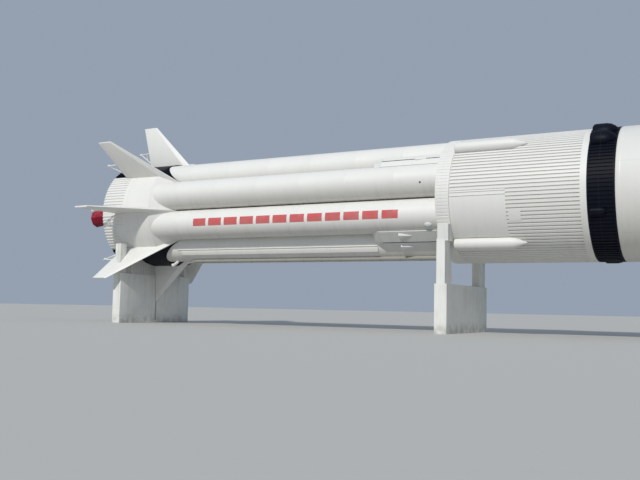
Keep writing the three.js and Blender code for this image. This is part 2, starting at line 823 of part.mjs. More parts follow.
function pierBody(pier) {
  const { from, to, half, wall, post, seat, saddle, chock } = pier;
  let body = solidOf(box([from, -half, 0], [to, half, wall]));
  body = body.add(pierPost(pier, -1)).add(pierPost(pier, 1));
  if (saddle) {
    const plate = box([from + saddle.inset, -saddle.half, 0], [to - saddle.inset, saddle.half, saddle.top]);
    const { halfGap, footing, finGap } = LEAVES;
    body = body.add(solidOf(plate).subtract(finAt(135, POST.slotGap)).subtract(finAt(225, POST.slotGap)))
      .subtract(finAt(180, finGap))
      .subtract(solidOf(box([from - m(1), -halfGap, footing], [to + m(1), halfGap, AXIS_HEIGHT])));
  }
  for (const side of chock ? [-1, 1] : []) {
    const across = [side * (half - CHOCK.width), side * half];
    body = body.add(solidOf(box(
      [from + CHOCK.aft, Math.min(...across), post - GAP],
      [to + CHOCK.fore, Math.max(...across), chock],
    )));
  }
  const bore = cylinder(from - m(1), to + m(1), seat, FACETS.stage);
  return body.subtract(solidOf(bore.translate(0, 0, AXIS_HEIGHT)));
}

function addPiers() {
  for (const pier of PIERS) {
    piece(pier.name, geometryOf(pierBody(pier)), finish('concrete', 0.85), model);
  }
}

addTanks();
addThrustFrame();
addShroud();
addHeatShield();
addOutboardEngines();
addInboardEngines();
addEngineCover();
addFins();
addUpperBody();
addInterstage();
addAftSkirt();
addAttitudeModules();
addServiceModule();
addCapsule();
addTower();
addEscapeMotor();
addConduit();
addValleyFairings();
addPiers();

// The origin is the middle of the footprint, on the ground.
model.updateMatrixWorld(true);
const extent = new THREE.Box3().setFromObject(model, true);
model.position.x = -(extent.min.x + extent.max.x) / 2;

export default model;
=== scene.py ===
"""Looks of a clustered-tank space rocket that lies on its display piers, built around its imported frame.

Pieces are modelled in full-size metres: X is the station, the distance forward of the engine exits, and Z
points outwards from the rocket's axis at azimuth 0, the top. Azimuths turn from the top by way of the
viewer's side. Placing a piece brings it to the model, which is half the size of the real rocket.
"""

import logging
import math
from contextlib import contextmanager
from dataclasses import dataclass
from enum import Enum
from typing import Callable, Iterator, Mapping, Sequence, Union

import bpy
from mathutils import Matrix, Vector


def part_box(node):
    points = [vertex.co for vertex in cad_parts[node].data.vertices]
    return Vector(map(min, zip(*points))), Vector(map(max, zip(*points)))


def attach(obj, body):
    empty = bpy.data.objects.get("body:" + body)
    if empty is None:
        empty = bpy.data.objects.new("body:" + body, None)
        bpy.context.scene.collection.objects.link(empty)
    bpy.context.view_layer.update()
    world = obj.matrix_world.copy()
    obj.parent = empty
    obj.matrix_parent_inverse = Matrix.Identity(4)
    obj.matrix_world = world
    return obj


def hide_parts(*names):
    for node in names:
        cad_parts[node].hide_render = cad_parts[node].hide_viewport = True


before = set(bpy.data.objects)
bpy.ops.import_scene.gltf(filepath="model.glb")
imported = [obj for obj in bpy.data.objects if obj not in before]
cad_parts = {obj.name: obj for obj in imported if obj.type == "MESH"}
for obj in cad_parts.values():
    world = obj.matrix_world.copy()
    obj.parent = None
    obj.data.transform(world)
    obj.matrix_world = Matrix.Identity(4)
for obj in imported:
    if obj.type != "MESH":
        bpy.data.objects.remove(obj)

LOG = logging.getLogger("rocket")
SCALE = 0.5
PHOTO_WIDTH = 640
SENSOR_WIDTH = 36.0
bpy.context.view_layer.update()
AXIS_HEIGHT = 3.5
INTERSTAGE_AFT = 24.44
ORIGIN_STATION = INTERSTAGE_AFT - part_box("interstage")[0].x / SCALE
STAGE_RADIUS = 3.302
TANK_RADIUS = 0.889
TANK_CIRCLE = 2.375
ROUND_STEPS = 144
AIRFRAME = "airframe"
SIDES = ("top", "near", "bottom", "far")

Point = tuple[float, float]
Corner = tuple[float, float, float]
Colour = tuple[float, float, float]


def turn(degrees: float, axis: str = "X") -> Matrix:
    """Gives a turn about an axis. About X it turns to an azimuth."""
    return Matrix.Rotation(math.radians(degrees), 4, axis)


def moved(x: float = 0.0, y: float = 0.0, z: float = 0.0) -> Matrix:
    """Gives a move by so many metres."""
    return Matrix.Translation((x, y, z))


def rocket_frame() -> Matrix:
    """Gives the way from full-size metres about the axis to the model."""
    return moved(-ORIGIN_STATION * SCALE, z=AXIS_HEIGHT) @ Matrix.Scale(SCALE, 4)


def on_tank(azimuth: float, own: float = 0.0) -> Matrix:
    """Gives the way to an outer tank's axis, turned about that axis to an azimuth of its own."""
    return turn(azimuth) @ moved(z=TANK_CIRCLE) @ turn(own - azimuth)


def polar(station: float, radius: float, azimuth: float) -> Corner:
    """Gives the point at a station, radius and azimuth."""
    angle = math.radians(azimuth)
    return (station, -radius * math.sin(angle), radius * math.cos(angle))


def band(aft: float, fore: float, low: float, high: float) -> list[Point]:
    """Gives the outline of a band from one station to another, between two radii."""
    return [(aft, low), (aft, high), (fore, high), (fore, low)]


def hump(middle: Corner, foot: float, head: float, height: float) -> list[Corner]:
    """Gives the corners of a section across the rocket.

    Args:
        middle: the middle of its foot.
        foot: half its width at the foot.
        head: half its width at the head.
        height: how high it is.

    Returns:
        The four corners.
    """
    x, y, z = middle
    return [(x, y - foot, z), (x, y - head, z + height), (x, y + head, z + height), (x, y + foot, z)]


class Solver(Enum):
    """How one solid acts on another."""

    CUT = "DIFFERENCE"
    FUSE = "UNION"


class Work:
    """A piece on the bench. Every method is one step of modelling, and gives the piece back."""

    def __init__(self, body: bpy.types.Object) -> None:
        """Takes an object as the piece."""
        self.body = body

    @staticmethod
    def only(*bodies: bpy.types.Object) -> None:
        """Selects these objects alone, with the first one active.

        Args:
            bodies: the objects.
        """
        bpy.ops.object.select_all(action="DESELECT")
        for body in bodies:
            body.select_set(True)
        bpy.context.view_layer.objects.active = bodies[0]

    @contextmanager
    def editing(self, everything: bool = True) -> Iterator[None]:
        """Opens the mesh for edit steps, and closes it after them.

        Args:
            everything: whether all of the mesh is selected first.

        Yields:
            Nothing.
        """
        self.only(self.body)
        bpy.ops.object.mode_set(mode="EDIT")
        if everything:
            bpy.ops.mesh.select_all(action="SELECT")
        yield
        bpy.ops.object.mode_set(mode="OBJECT")

    @classmethod
    def chain(cls, points: Sequence[Corner], closed: bool = False, filled: bool = False) -> "Work":
        """Draws a chain of edges from point to point.

        Args:
            points: the corners, in full-size metres.
            closed: whether the last corner joins the first.
            filled: whether the closed chain gets a face.

        Returns:
            The chain as a piece.
        """
        bpy.ops.object.select_all(action="DESELECT")
        bpy.ops.mesh.primitive_circle_add(vertices=3, radius=1.0, location=(0.0, 0.0, 0.0))
        work = cls(bpy.context.object)
        with work.editing():
            bpy.ops.mesh.merge(type="CENTER")
            last = Vector((0.0, 0.0, 0.0))
            for i, point in enumerate(points):
                step = {"value": Vector(point) - last}
                if i == 0:
                    bpy.ops.transform.translate(**step)
                else:
                    bpy.ops.mesh.extrude_vertices_move(TRANSFORM_OT_translate=step)
                last = Vector(point)
            bpy.ops.mesh.select_all(action="SELECT")
            if closed or filled:
                bpy.ops.mesh.edge_face_add()
            if closed:
                bpy.ops.mesh.delete(type="ONLY_FACE")
        return work

    def spin(self, steps: int, degrees: float, copies: bool = False) -> "Work":
        """Spins the piece about the rocket's axis.

        Args:
            steps: how many steps the spin has.
            degrees: how far it goes, towards greater azimuths.
            copies: whether each step leaves a copy, not a skin.

        Returns:
            The piece.
        """
        with self.editing():
            bpy.ops.mesh.spin(steps=steps, dupli=copies, angle=-math.radians(degrees), center=(0.0, 0.0, 0.0),
                              axis=(1.0, 0.0, 0.0))
        return self

    @classmethod
    def turned(cls, outline: Sequence[Point], steps: int = 96) -> "Work":
        """Turns an outline of [station, radius] points all round the axis."""
        return cls.chain([(x, 0.0, r) for x, r in outline]).spin(steps, -360.0).clean()

    @classmethod
    def ring(cls, outline: Sequence[Point], steps: int = 96) -> "Work":
        """Turns a closed outline that stays off the axis all round it."""
        return cls.turned([*outline, outline[0]], steps)

    @classmethod
    def sector(cls, outline: Sequence[Point], first: float, last: float, steps: int) -> "Work":
        """Turns a filled outline of [station, radius] points from one azimuth to another."""
        work = cls.chain([polar(x, r, first) for x, r in outline], filled=True)
        return work.spin(steps, last - first).clean()

    @classmethod
    def block(cls, low: Corner, high: Corner) -> "Work":
        """Starts from a box between two corners.

        Args:
            low: the corner with the least values.
            high: the corner with the greatest values.

        Returns:
            The box.
        """
        middle = (Vector(low) + Vector(high)) / 2
        bpy.ops.object.select_all(action="DESELECT")
        bpy.ops.mesh.primitive_cube_add(size=1.0, location=middle, scale=Vector(high) - Vector(low))
        return cls(bpy.context.object).settle()

    @classmethod
    def prism(cls, outline: Sequence[Corner], offset: Corner) -> "Work":
        """Fills an outline and extrudes it.

        Args:
            outline: the corners of one end.
            offset: the way from that end to the other.

        Returns:
            The closed prism.
        """
        work = cls.chain(outline, filled=True)
        with work.editing():
            bpy.ops.mesh.extrude_region_move(TRANSFORM_OT_translate={"value": offset})
        return work.clean()

    @classmethod
    def bridged(cls, first: Sequence[Corner], last: Sequence[Corner]) -> "Work":
        """Bridges two outlines, and closes both ends.

        Args:
            first: the corners of one end.
            last: as many corners of the other end.

        Returns:
            The closed solid.
        """
        work = cls.chain(first, closed=True).join(cls.chain(last, closed=True))
        with work.editing():
            bpy.ops.mesh.bridge_edge_loops()
            bpy.ops.mesh.select_all(action="SELECT")
            bpy.ops.mesh.fill_holes(sides=0)
        return work.clean()

    @classmethod
    def pipe(cls, points: Sequence[Corner], radius: float, sides: int = 3, curved: bool = False) -> "Work":
        """Bends a pipe through points.

        Args:
            points: what the pipe's middle line passes through.
            radius: the pipe's radius.
            sides: the curve's bevel resolution.
            curved: whether the line bends in curves, not at corners.

        Returns:
            The pipe, with closed ends.
        """
        cls.only(cls.chain(points).body)
        bpy.ops.object.convert(target="CURVE")
        curve = bpy.context.object
        if curved:
            bpy.ops.object.mode_set(mode="EDIT")
            bpy.ops.curve.select_all(action="SELECT")
            bpy.ops.curve.spline_type_set(type="BEZIER")
            bpy.ops.curve.handle_type_set(type="AUTOMATIC")
            bpy.ops.object.mode_set(mode="OBJECT")
            curve.data.resolution_u = 6
        curve.data.bevel_depth = radius
        curve.data.bevel_resolution = sides
        curve.data.use_fill_caps = True
        bpy.ops.object.convert(target="MESH")
        return cls(bpy.context.object).clean()

    @classmethod
    def dome(cls, middle: Corner, size: Corner, segments: int = 24) -> "Work":
        """Starts from a ball, flattens it, and cuts off what lies under its middle.

        Args:
            middle: the ball's middle.
            size: its half sizes.
            segments: how many segments it has.

        Returns:
            The dome, closed below.
        """
        bpy.ops.object.select_all(action="DESELECT")
        bpy.ops.mesh.primitive_uv_sphere_add(segments=segments, ring_count=segments // 2, radius=1.0,
                                             location=middle, scale=size)
        work = cls(bpy.context.object).settle()
        with work.editing():
            bpy.ops.mesh.bisect(plane_co=middle, plane_no=(0.0, 0.0, 1.0), clear_inner=True, use_fill=True)
        return work.clean()

    def clean(self) -> "Work":
        """Merges doubles and turns the faces outwards.

        Returns:
            The piece.
        """
        with self.editing():
            bpy.ops.mesh.remove_doubles(threshold=1e-5)
            bpy.ops.mesh.normals_make_consistent(inside=False)
        return self

    def settle(self, matrix: Matrix | None = None) -> "Work":
        """Brings the piece by a matrix and writes its place into its mesh.

        Args:
            matrix: the way it goes, or None to leave it where it is.

        Returns:
            The piece.
        """
        self.only(self.body)
        if matrix is not None:
            self.body.matrix_world = matrix @ self.body.matrix_world
        bpy.ops.object.transform_apply(location=True, rotation=True, scale=True)
        return self

    def modify(self, kind: str, **settings: object) -> "Work":
        """Adds a modifier and applies it.

        Args:
            kind: the modifier's type.
            settings: its settings.

        Returns:
            The piece.
        """
        self.only(self.body)
        modifier = self.body.modifiers.new(kind.lower(), kind)
        for name, value in settings.items():
            setattr(modifier, name, value)
        bpy.ops.object.modifier_apply(modifier=modifier.name)
        return self

    def bevel(self, width: float, segments: int = 2, angle: float = 30.0) -> "Work":
        """Rounds the edges that are sharper than an angle."""
        return self.modify("BEVEL", width=width, segments=segments, angle_limit=math.radians(angle),
                           use_clamp_overlap=True)

    def combine(self, solver: Solver, *tools: "Work") -> "Work":
        """Cuts or fuses the piece by other solids, which are used up.

        Args:
            solver: what the solids do to the piece.
            tools: the solids.

        Returns:
            The piece.
        """
        for tool in tools:
            self.modify("BOOLEAN", operation=solver.value, object=tool.body, solver="EXACT")
            tool.drop()
        return self

    def around(self, count: int, pitch: float, first: float = 0.0) -> "Work":
        """Repeats the piece about the axis.

        Args:
            count: how many there are in all.
            pitch: degrees of azimuth from one to the next.
            first: azimuth of the first one.

        Returns:
            All of them as one piece.
        """
        self.settle(turn(first))
        return self.spin(count - 1, pitch * (count - 1), copies=True) if count > 1 else self

    def row(self, count: int, pitch: float) -> "Work":
        """Repeats the piece in a straight row along the rocket."""
        return self.modify("ARRAY", count=count, use_relative_offset=False, use_constant_offset=True,
                           constant_offset_displace=(pitch, 0.0, 0.0))

    def copy(self, matrix: Matrix | None = None) -> "Work":
        """Copies the piece, with a mesh of its own.

        Args:
            matrix: the way the copy goes, or None to leave it where it is.

        Returns:
            The copy.
        """
        twin = self.body.copy()
        twin.data = self.body.data.copy()
        bpy.context.scene.collection.objects.link(twin)
        return Work(twin).settle(matrix)

    def join(self, *others: "Work") -> "Work":
        """Takes other pieces into this one as loose parts.

        Args:
            others: the pieces.

        Returns:
            The piece.
        """
        self.only(self.body, *(other.body for other in others))
        bpy.ops.object.join()
        return self

    def smooth(self, angle: float = 32.0) -> "Work":
        """Shades the faces smooth up to an angle.

        Args:
            angle: edges sharper than this, in degrees, stay sharp.

        Returns:
            The piece.
        """
        self.only(self.body)
        bpy.ops.object.shade_smooth_by_angle(angle=math.radians(angle), keep_sharp_edges=False)
        return self

    def mount(self, place: Matrix = Matrix(), angle: float = 32.0) -> "Work":
        """Shades the piece smooth up to an angle, and brings it by way of its place to the model."""
        return self.smooth(angle).settle(rocket_frame() @ place)

    def drop(self) -> None:
        """Takes the piece off the bench."""
        bpy.data.objects.remove(self.body)


Feed = Union["Wire", float, Sequence[float]]


def operator(operation: str, swapped: bool = False) -> Callable[["Wire", Feed], "Wire"]:
    """Makes an operator of wires.

    Args:
        operation: what the Math node does.
        swapped: whether the other value comes first.

    Returns:
        The operator.
    """
    def act(self: "Wire", other: Feed) -> "Wire":
        """Adds the Math node."""
        return self.board.maths(operation, *((other, self) if swapped else (self, other)))
    return act


class Wire:
    """A node's output. Python's operators on it add Math nodes."""

    __add__ = __radd__ = operator("ADD")
    __sub__ = operator("SUBTRACT")
    __rsub__ = operator("SUBTRACT", swapped=True)
    __mul__ = __rmul__ = operator("MULTIPLY")
    __truediv__ = operator("DIVIDE")
    __gt__ = operator("GREATER_THAN")
    __lt__ = operator("LESS_THAN")

    def __init__(self, board: "Board", socket: bpy.types.NodeSocket) -> None:
        """Takes an output of a node on a board."""
        self.board = board
        self.socket = socket

    def between(self, low: float, high: float) -> "Wire":
        """Gives 1 between two values."""
        return (self > low) * (self < high)

    def rise(self, low: float, high: float) -> "Wire":
        """Rises smoothly from 0 at the low value to 1 at the high one."""
        return self.board.node("ShaderNodeMapRange", {"interpolation_type": "SMOOTHSTEP"},
                               {"Value": self, "From Min": low, "From Max": high})

    def fall(self, low: float, high: float) -> "Wire":
        """Falls smoothly from 1 at the low value to 0 at the high one."""
        return 1.0 - self.rise(low, high)


class Board:
    """A material's nodes, with the rocket's own coordinates laid out on them."""

    def __init__(self, name: str) -> None:
        """Starts a material.

        Args:
            name: the material's name.
        """
        self.material = bpy.data.materials.new(name)
        self.material.use_nodes = True
        self.tree = self.material.node_tree
        self.shader = self.tree.nodes["Principled BSDF"]
        place = self.node("ShaderNodeTexCoord", output="Object")
        x, y, z = (self.part(place, k) for k in range(3))
        self.station = x / SCALE + ORIGIN_STATION
        self.across = y / SCALE
        self.up = (z - AXIS_HEIGHT) / SCALE
        self.facing_up = self.part(self.node("ShaderNodeTexCoord", output="Normal"), 2)

    def node(self, kind: str, settings: Mapping[str, object] | None = None,
             feeds: Mapping[Union[str, int], Feed] | None = None, output: Union[str, int] = 0) -> Wire:
        """Adds a node.

        Args:
            kind: the node's type.
            settings: what is set on the node first.
            feeds: the values or wires of its sockets.
            output: which output is given.

        Returns:
            The output.
        """
        made = self.tree.nodes.new(kind)
        for name, value in (settings or {}).items():
            setattr(made, name, value)
        for name, value in (feeds or {}).items():
            self.feed(made.inputs[name], value)
        return Wire(self, made.outputs[output])

    def feed(self, socket: bpy.types.NodeSocket, value: Feed) -> None:
        """Links a wire to a socket, or sets a value on it.

        Args:
            socket: the input.
            value: the wire, number or colour.
        """
        if isinstance(value, Wire):
            self.tree.links.new(value.socket, socket)
        elif socket.type == "RGBA":
            socket.default_value = (*value[:3], 1.0)
        else:
            socket.default_value = value

    def maths(self, operation: str, first: Feed, second: Feed = 0.0) -> Wire:
        """Works on one or two numbers."""
        return self.node("ShaderNodeMath", {"operation": operation}, {0: first, 1: second})

    def part(self, vector: Wire, axis: int) -> Wire:
        """Gives one part of a vector."""
        return self.node("ShaderNodeSeparateXYZ", None, {0: vector}, axis)

    def vector(self, x: Feed, y: Feed, z: Feed) -> Wire:
        """Puts three numbers into a vector."""
        return self.node("ShaderNodeCombineXYZ", None, {0: x, 1: y, 2: z})

    def azimuth(self, across: Feed = 0.0, up: Feed = 0.0) -> Wire:
        """Gives the azimuth, in degrees, about an axis that stands off the rocket's own."""
        angle = self.maths("ARCTAN2", (self.across - across) * -1.0, self.up - up)
        return angle * math.degrees(1.0)

    def radius(self) -> Wire:
        """Gives the distance from the rocket's axis."""
        return self.maths("SQRT", self.across * self.across + self.up * self.up)

    def apart(self, value: Wire, pitch: float, start: float = 0.0) -> Wire:
        """Gives the distance to the nearest line of a set with an even pitch."""
        return self.maths("PINGPONG", value - start, pitch / 2)

    def noise(self, x: float, y: float, z: float, detail: float = 3.0, roughness: float = 0.55) -> Wire:
        """Gives a cloudy pattern with so many clouds a metre along, across and up."""
        at = self.vector(self.station * x, self.across * y, self.up * z)
        return self.node("ShaderNodeTexNoise", None,
                         {"Vector": at, "Scale": 1.0, "Detail": detail, "Roughness": roughness})

    def cells(self, value: Wire, other: Wire) -> Wire:
        """Gives a random number for each whole pair of two numbers."""
        at = self.vector(self.maths("FLOOR", value), self.maths("FLOOR", other), 0.0)
        return self.node("ShaderNodeTexWhiteNoise", {"noise_dimensions": "3D"}, {"Vector": at})

    def mix(self, share: Feed, first: Feed, second: Feed) -> Wire:
        """Mixes two colours."""
        return self.node("ShaderNodeMix", {"data_type": "RGBA"}, {0: share, 6: first, 7: second}, 2)

    def dress(self, colour: Wire, roughness: Feed, metallic: Feed, height: Wire, depth: float) -> None:
        """Feeds the shader.

        Args:
            colour: the base colour.
            roughness: the roughness.
            metallic: how much of a metal it is.
            height: the relief, from 0 to 1.
            depth: how high the relief's 1 stands, in model metres.
        """
        self.feed(self.shader.inputs["Base Color"], colour)
        self.feed(self.shader.inputs["Roughness"], roughness)
        self.feed(self.shader.inputs["Metallic"], metallic)
        relief = self.node("ShaderNodeBump", None, {"Strength": 1.0, "Distance": depth, "Height": height})
        self.feed(self.shader.inputs["Normal"], relief)


@dataclass(frozen=True)
class Finish:
    """What every finish holds, and how its material is made once."""

    name: str
    slot: str
    colour: Colour
    roughness: float = 0.5
    metallic: float = 0.0
    specular: float = 0.4
    depth: float = 0.002

    def material(self) -> bpy.types.Material:
        """Gives the finish's material, made on first use.

        Returns:
            The material.
        """
        known = bpy.data.materials.get(self.name)
        if known:
            return known
        board = Board(self.name)
        board.shader.inputs["Specular IOR Level"].default_value = self.specular
        self.paint(board)
        return board.material

    def paint(self, board: Board) -> None:
        """Lays the finish on a board. Each finish has its own way."""
        raise NotImplementedError


@dataclass(frozen=True)
class Paint(Finish):
    """Weathered paint on sheet: seams, sheet-to-sheet patches, rain streaks, painted shade under it and in rib grooves.
    """

    # Colour that dirt, seams and the painted shade darken the paint towards.
    grime: Colour = (0.33, 0.31, 0.26)
    # Strength of the painted shade on the faces that turn down.
    underside_shade: float = 0.22
    streaks: float = 0.16
    patches: float = 0.05
    depth: float = 0.003
    sheet_length: float = 2.4
    sheet_arc: float = 45.0
    rings: tuple[float, float] = (0.0, 0.0)
    sides: tuple[float, float] = (0.0, 0.0)
    seam: float = 0.022
    seam_shade: float = 0.45
    # Below this radius, the valleys between ribs get painted shade of this strength.
    groove: float = 0.0
    groove_shade: float = 0.3

    def seams(self, board: Board) -> Wire:
        """Gives 1 on the seams between the sheets.

        Args:
            board: the material's board.

        Returns:
            The wire.
        """
        line: Feed = 0.0
        if self.rings[0]:
            line = board.apart(board.station, *self.rings).fall(self.seam * 0.4, self.seam)
        if self.sides[0]:
            arc = board.apart(board.azimuth(), *self.sides) * (STAGE_RADIUS * math.radians(1.0))
            line = board.maths("MAXIMUM", arc.fall(self.seam * 0.4, self.seam), line)
        return line if isinstance(line, Wire) else board.station * 0.0

    def base(self, board: Board) -> Wire:
        """Gives the clean colour, sheet by sheet.

        Args:
            board: the material's board.

        Returns:
            The colour.
        """
        ring, side = self.rings[0] or self.sheet_length, self.sides[0] or self.sheet_arc
        sheet = board.cells((board.station - self.rings[1]) / ring, (board.azimuth() - self.sides[1]) / side)
        shade = tuple(v * (1.0 - 2.5 * self.patches) for v in self.colour)
        cloud = board.noise(0.35, 0.5, 0.5).rise(0.3, 0.7)
        return board.mix(sheet * 0.6 * min(1.0, self.patches * 12) + cloud * 0.4, shade, self.colour)

    def paint(self, board: Board) -> None:
        """Lays the paint.

        Args:
            board: the material's board.
        """
        seams = self.seams(board)
        # Painted shade on the faces that turn down; rain streaks show more there too.
        under = board.facing_up.fall(-0.95, 0.35)
        run = board.noise(2.6, 0.3, 0.22, 4.0, 0.62).rise(0.48, 0.74)
        fine = board.noise(11.0, 1.6, 1.1, 3.0, 0.6).rise(0.5, 0.8)
        dirt_and_shade = under * self.underside_shade + (run * 0.65 + fine * 0.35) * (0.25 + under * 0.75) * self.streaks
        # Painted shade in the valleys between the ribs.
        if self.groove:
            dirt_and_shade = dirt_and_shade + (board.radius() < self.groove) * self.groove_shade
        dirt_and_shade = board.maths("MINIMUM", dirt_and_shade + seams * self.seam_shade, 0.92)
        speckle = board.noise(30.0, 30.0, 30.0, 2.0)
        colour = board.mix(dirt_and_shade, self.base(board), self.grime)
        roughness = self.roughness + dirt_and_shade * 0.25 + (speckle - 0.5) * 0.12
        height = speckle * 0.12 + board.noise(1.3, 1.3, 1.3, 1.0) * 0.5 - seams * 0.3
        board.dress(colour, roughness, self.metallic, height, self.depth)


@dataclass(frozen=True)
class StripedPaint(Paint):
    """Tank paint with a broken stripe along one side of the tank."""

    stripe: Colour = (0.62, 0.05, 0.055)
    azimuth: float = 112.5
    own: float = 88.0
    half: float = 15.0
    ends: tuple[float, float] = (8.2, 21.7)
    dash: float = 1.125
    gap: float = 0.2

    def base(self, board: Board) -> Wire:
        """Gives the paint's colour with the stripe on it.

        Args:
            board: the material's board.

        Returns:
            The colour.
        """
        _, across, up = polar(0.0, TANK_CIRCLE, self.azimuth)
        side = board.azimuth(across, up)
        breaks = board.apart(board.station, self.dash, self.ends[0]) > self.gap / 2
        band = side.between(self.own - self.half, self.own + self.half)
        stripe = board.station.between(*self.ends) * band * breaks
        faded = board.mix(board.noise(3.0, 3.0, 3.0).rise(0.35, 0.7), self.stripe,
                          tuple(v * 0.8 + 0.06 for v in self.stripe))
        return board.mix(stripe * 0.94, super().base(board), faded)


@dataclass(frozen=True)
class EngineMetal(Finish):
    """Steel tube wall: brazed rings, a straw heat tint towards the exit, soot inside."""

    tint: Colour = (0.34, 0.27, 0.19)
    soot: Colour = (0.07, 0.065, 0.06)
    tube_pitch: float = 0.09

    def paint(self, board: Board) -> None:
        """Lays the metal.

        Args:
            board: the material's board.
        """
        tinted = board.station.fall(0.0, 1.3)
        mottle = board.noise(4.0, 5.0, 5.0, 4.0).rise(0.35, 0.7)
        grime = board.noise(1.5, 2.0, 2.0, 3.0).rise(0.45, 0.75)
        rings = board.apart(board.station, self.tube_pitch).rise(0.0, 0.03)
        colour = board.mix(tinted * (0.35 + mottle * 0.5), self.colour, self.tint)
        colour = board.mix(grime * 0.55 + (1.0 - rings) * 0.15, colour, self.soot)
        scratch = board.noise(3.0, 45.0, 45.0, 2.0)
        board.dress(colour, self.roughness + grime * 0.3 + (scratch - 0.5) * 0.2,
                    self.metallic - grime * 0.35, scratch * 0.4 + rings * 0.4, self.depth)


@dataclass(frozen=True)
class FadedCover(Finish):
    """Red painted sheet: upper faces sun-faded and painted lit, lower faces in painted shade, stains run down it."""

    # Colour of the upper faces: sun-faded, and painted lit.
    faded: Colour = (0.62, 0.15, 0.15)
    # Colour of the painted shade below, and of the stains.
    shade_and_stain: Colour = (0.16, 0.008, 0.02)
    primer: Colour = (0.55, 0.42, 0.40)

    def paint(self, board: Board) -> None:
        """Lays the paint.

        Args:
            board: the material's board.
        """
        # Upper faces lighter: sun fading and a painted highlight together.
        faded_and_lit = board.facing_up.rise(-0.2, 0.9) * 0.6
        run = board.noise(7.0, 1.0, 0.5, 4.0).rise(0.45, 0.75)
        chips = board.noise(16.0, 16.0, 16.0, 4.0, 0.7).rise(0.66, 0.72)
        colour = board.mix(faded_and_lit * board.noise(3.0, 3.0, 3.0).rise(0.2, 0.8), self.colour, self.faded)
        # Painted shade on the faces that turn down.
        colour = board.mix(board.facing_up.fall(-0.6, 0.5) * 0.6, colour, self.shade_and_stain)
        colour = board.mix(run * 0.45, colour, self.shade_and_stain)
        colour = board.mix(chips * 0.5, colour, self.primer)
        board.dress(colour, self.roughness + run * 0.2, 0.0, board.noise(25.0, 25.0, 25.0), self.depth)


@dataclass(frozen=True)
class BareSheet(Finish):
    """Silver painted aluminium panels: brushed along, each panel its own tone, dull streaks, most on down-turned faces.
    """

    panel: tuple[float, float] = (0.98, 51.69)
    sides: float = 60.0
    degree: float = 0.034
    dulled: Colour = (0.24, 0.235, 0.22)

    def paint(self, board: Board) -> None:
        """Lays the sheet's finish.

        Args:
            board: the material's board.
        """
        side = board.azimuth()
        tone = board.cells((board.station - self.panel[1]) / self.panel[0], side / self.sides)
        brushed = board.noise(2.0, 60.0, 60.0, 3.0)
        # Duller, darker streaks, weighted to the faces that turn down.
        dull = board.noise(2.2, 0.5, 0.4, 4.0).rise(0.45, 0.75) * board.facing_up.fall(-0.9, 0.8)
        ring = board.apart(board.station, *self.panel).fall(0.01, 0.02)
        edge = (board.apart(side, self.sides) * self.degree).fall(0.01, 0.02)
        seam = board.maths("MAXIMUM", ring, edge)
        colour = board.mix(tone * 0.7, tuple(v * 0.82 for v in self.colour), self.colour)
        colour = board.mix(dull * 0.5 + seam * 0.5, colour, self.dulled)
        board.dress(colour, self.roughness + dull * 0.3 + (brushed - 0.5) * 0.2, self.metallic - dull * 0.3,
                    brushed * 0.3 - seam * 0.8, self.depth)


@dataclass(frozen=True)
class Cork(Finish):
    """White paint over cork: matt, with a fine grain and rubbed patches."""

    worn: Colour = (0.48, 0.42, 0.33)
    depth: float = 0.004

    def paint(self, board: Board) -> None:
        """Lays the paint over the cork.

        Args:
            board: the material's board.
        """
        grain = board.noise(38.0, 38.0, 38.0, 5.0, 0.7)
        rubbed = board.noise(3.5, 3.5, 3.5, 5.0, 0.68).rise(0.6, 0.72)
        # Darker streaks, weighted to the faces that turn down.
        run = board.noise(4.0, 0.5, 0.4, 3.0).rise(0.5, 0.78) * board.facing_up.fall(-1.0, 0.5)
        colour = board.mix(rubbed * 0.35 + run * 0.3, self.colour, self.worn)
        board.dress(colour, self.roughness + (grain - 0.5) * 0.2, 0.0, grain, self.depth)


@dataclass(frozen=True)
class CementRender(Finish):
    """Painted cement render: trowel waves, board marks and painted shade in the saddle, rain stains from the top, a
    splashed foot.
    """

    # Colour of the rain stains, and of the painted shade in the saddle.
    stain_and_shade: Colour = (0.40, 0.41, 0.38)
    damp: Colour = (0.33, 0.33, 0.28)
    depth: float = 0.006
    board_pitch: float = 0.16
    foot: float = -7.0
    saddle_from: float = 3.08
    saddle_half: float = 2.46
    saddle_fore: float = 10.0
    cap_from: float = 4.72
    cap_span: tuple[float, float] = (20.0, 46.0)

    def paint(self, board: Board) -> None:
        """Lays the render.

        Args:
            board: the material's board.
        """
        height = board.up - self.foot
        inside = board.across.between(-self.saddle_half, self.saddle_half) * (board.station < self.saddle_fore)
        boards = board.apart(board.across, self.board_pitch).rise(0.0, 0.05)
        # The saddle under the rocket, where the painted shade goes.
        saddle = height.rise(self.saddle_from, self.saddle_from + 0.03) * inside
        runs = board.noise(5.5, 4.0, 0.16, 5.0, 0.68).rise(0.46, 0.72)
        drips = board.noise(17.0, 12.0, 0.5, 4.0, 0.6).rise(0.52, 0.74)
        patch = board.noise(1.1, 1.1, 0.9, 4.0).rise(0.4, 0.75)
        higher = height.rise(0.4, 4.6)
        stained = (runs * 0.55 + drips * 0.3) * (0.25 + higher * 0.75) + patch * 0.2
        colour = board.mix(stained, self.colour, self.stain_and_shade)
        cap = height.rise(self.cap_from, self.cap_from + 0.03) * board.station.between(*self.cap_span)
        colour = board.mix(cap * (0.2 + runs * 0.5), colour, self.stain_and_shade)
        # Painted shade over the whole saddle, darker at the board marks.
        colour = board.mix(saddle * (0.25 + (1.0 - boards) * 0.35), colour, self.stain_and_shade)
        splash = height.fall(0.05, 0.7) * board.noise(2.5, 2.5, 2.5, 4.0).rise(0.3, 0.65)
        colour = board.mix(splash * 0.6, colour, self.damp)
        grain = board.noise(24.0, 24.0, 24.0, 5.0, 0.7)
        board.dress(colour, self.roughness + (grain - 0.5) * 0.15, 0.0,
                    grain * 0.5 + board.noise(3.0, 3.0, 3.0, 2.0) * 0.5, self.depth)


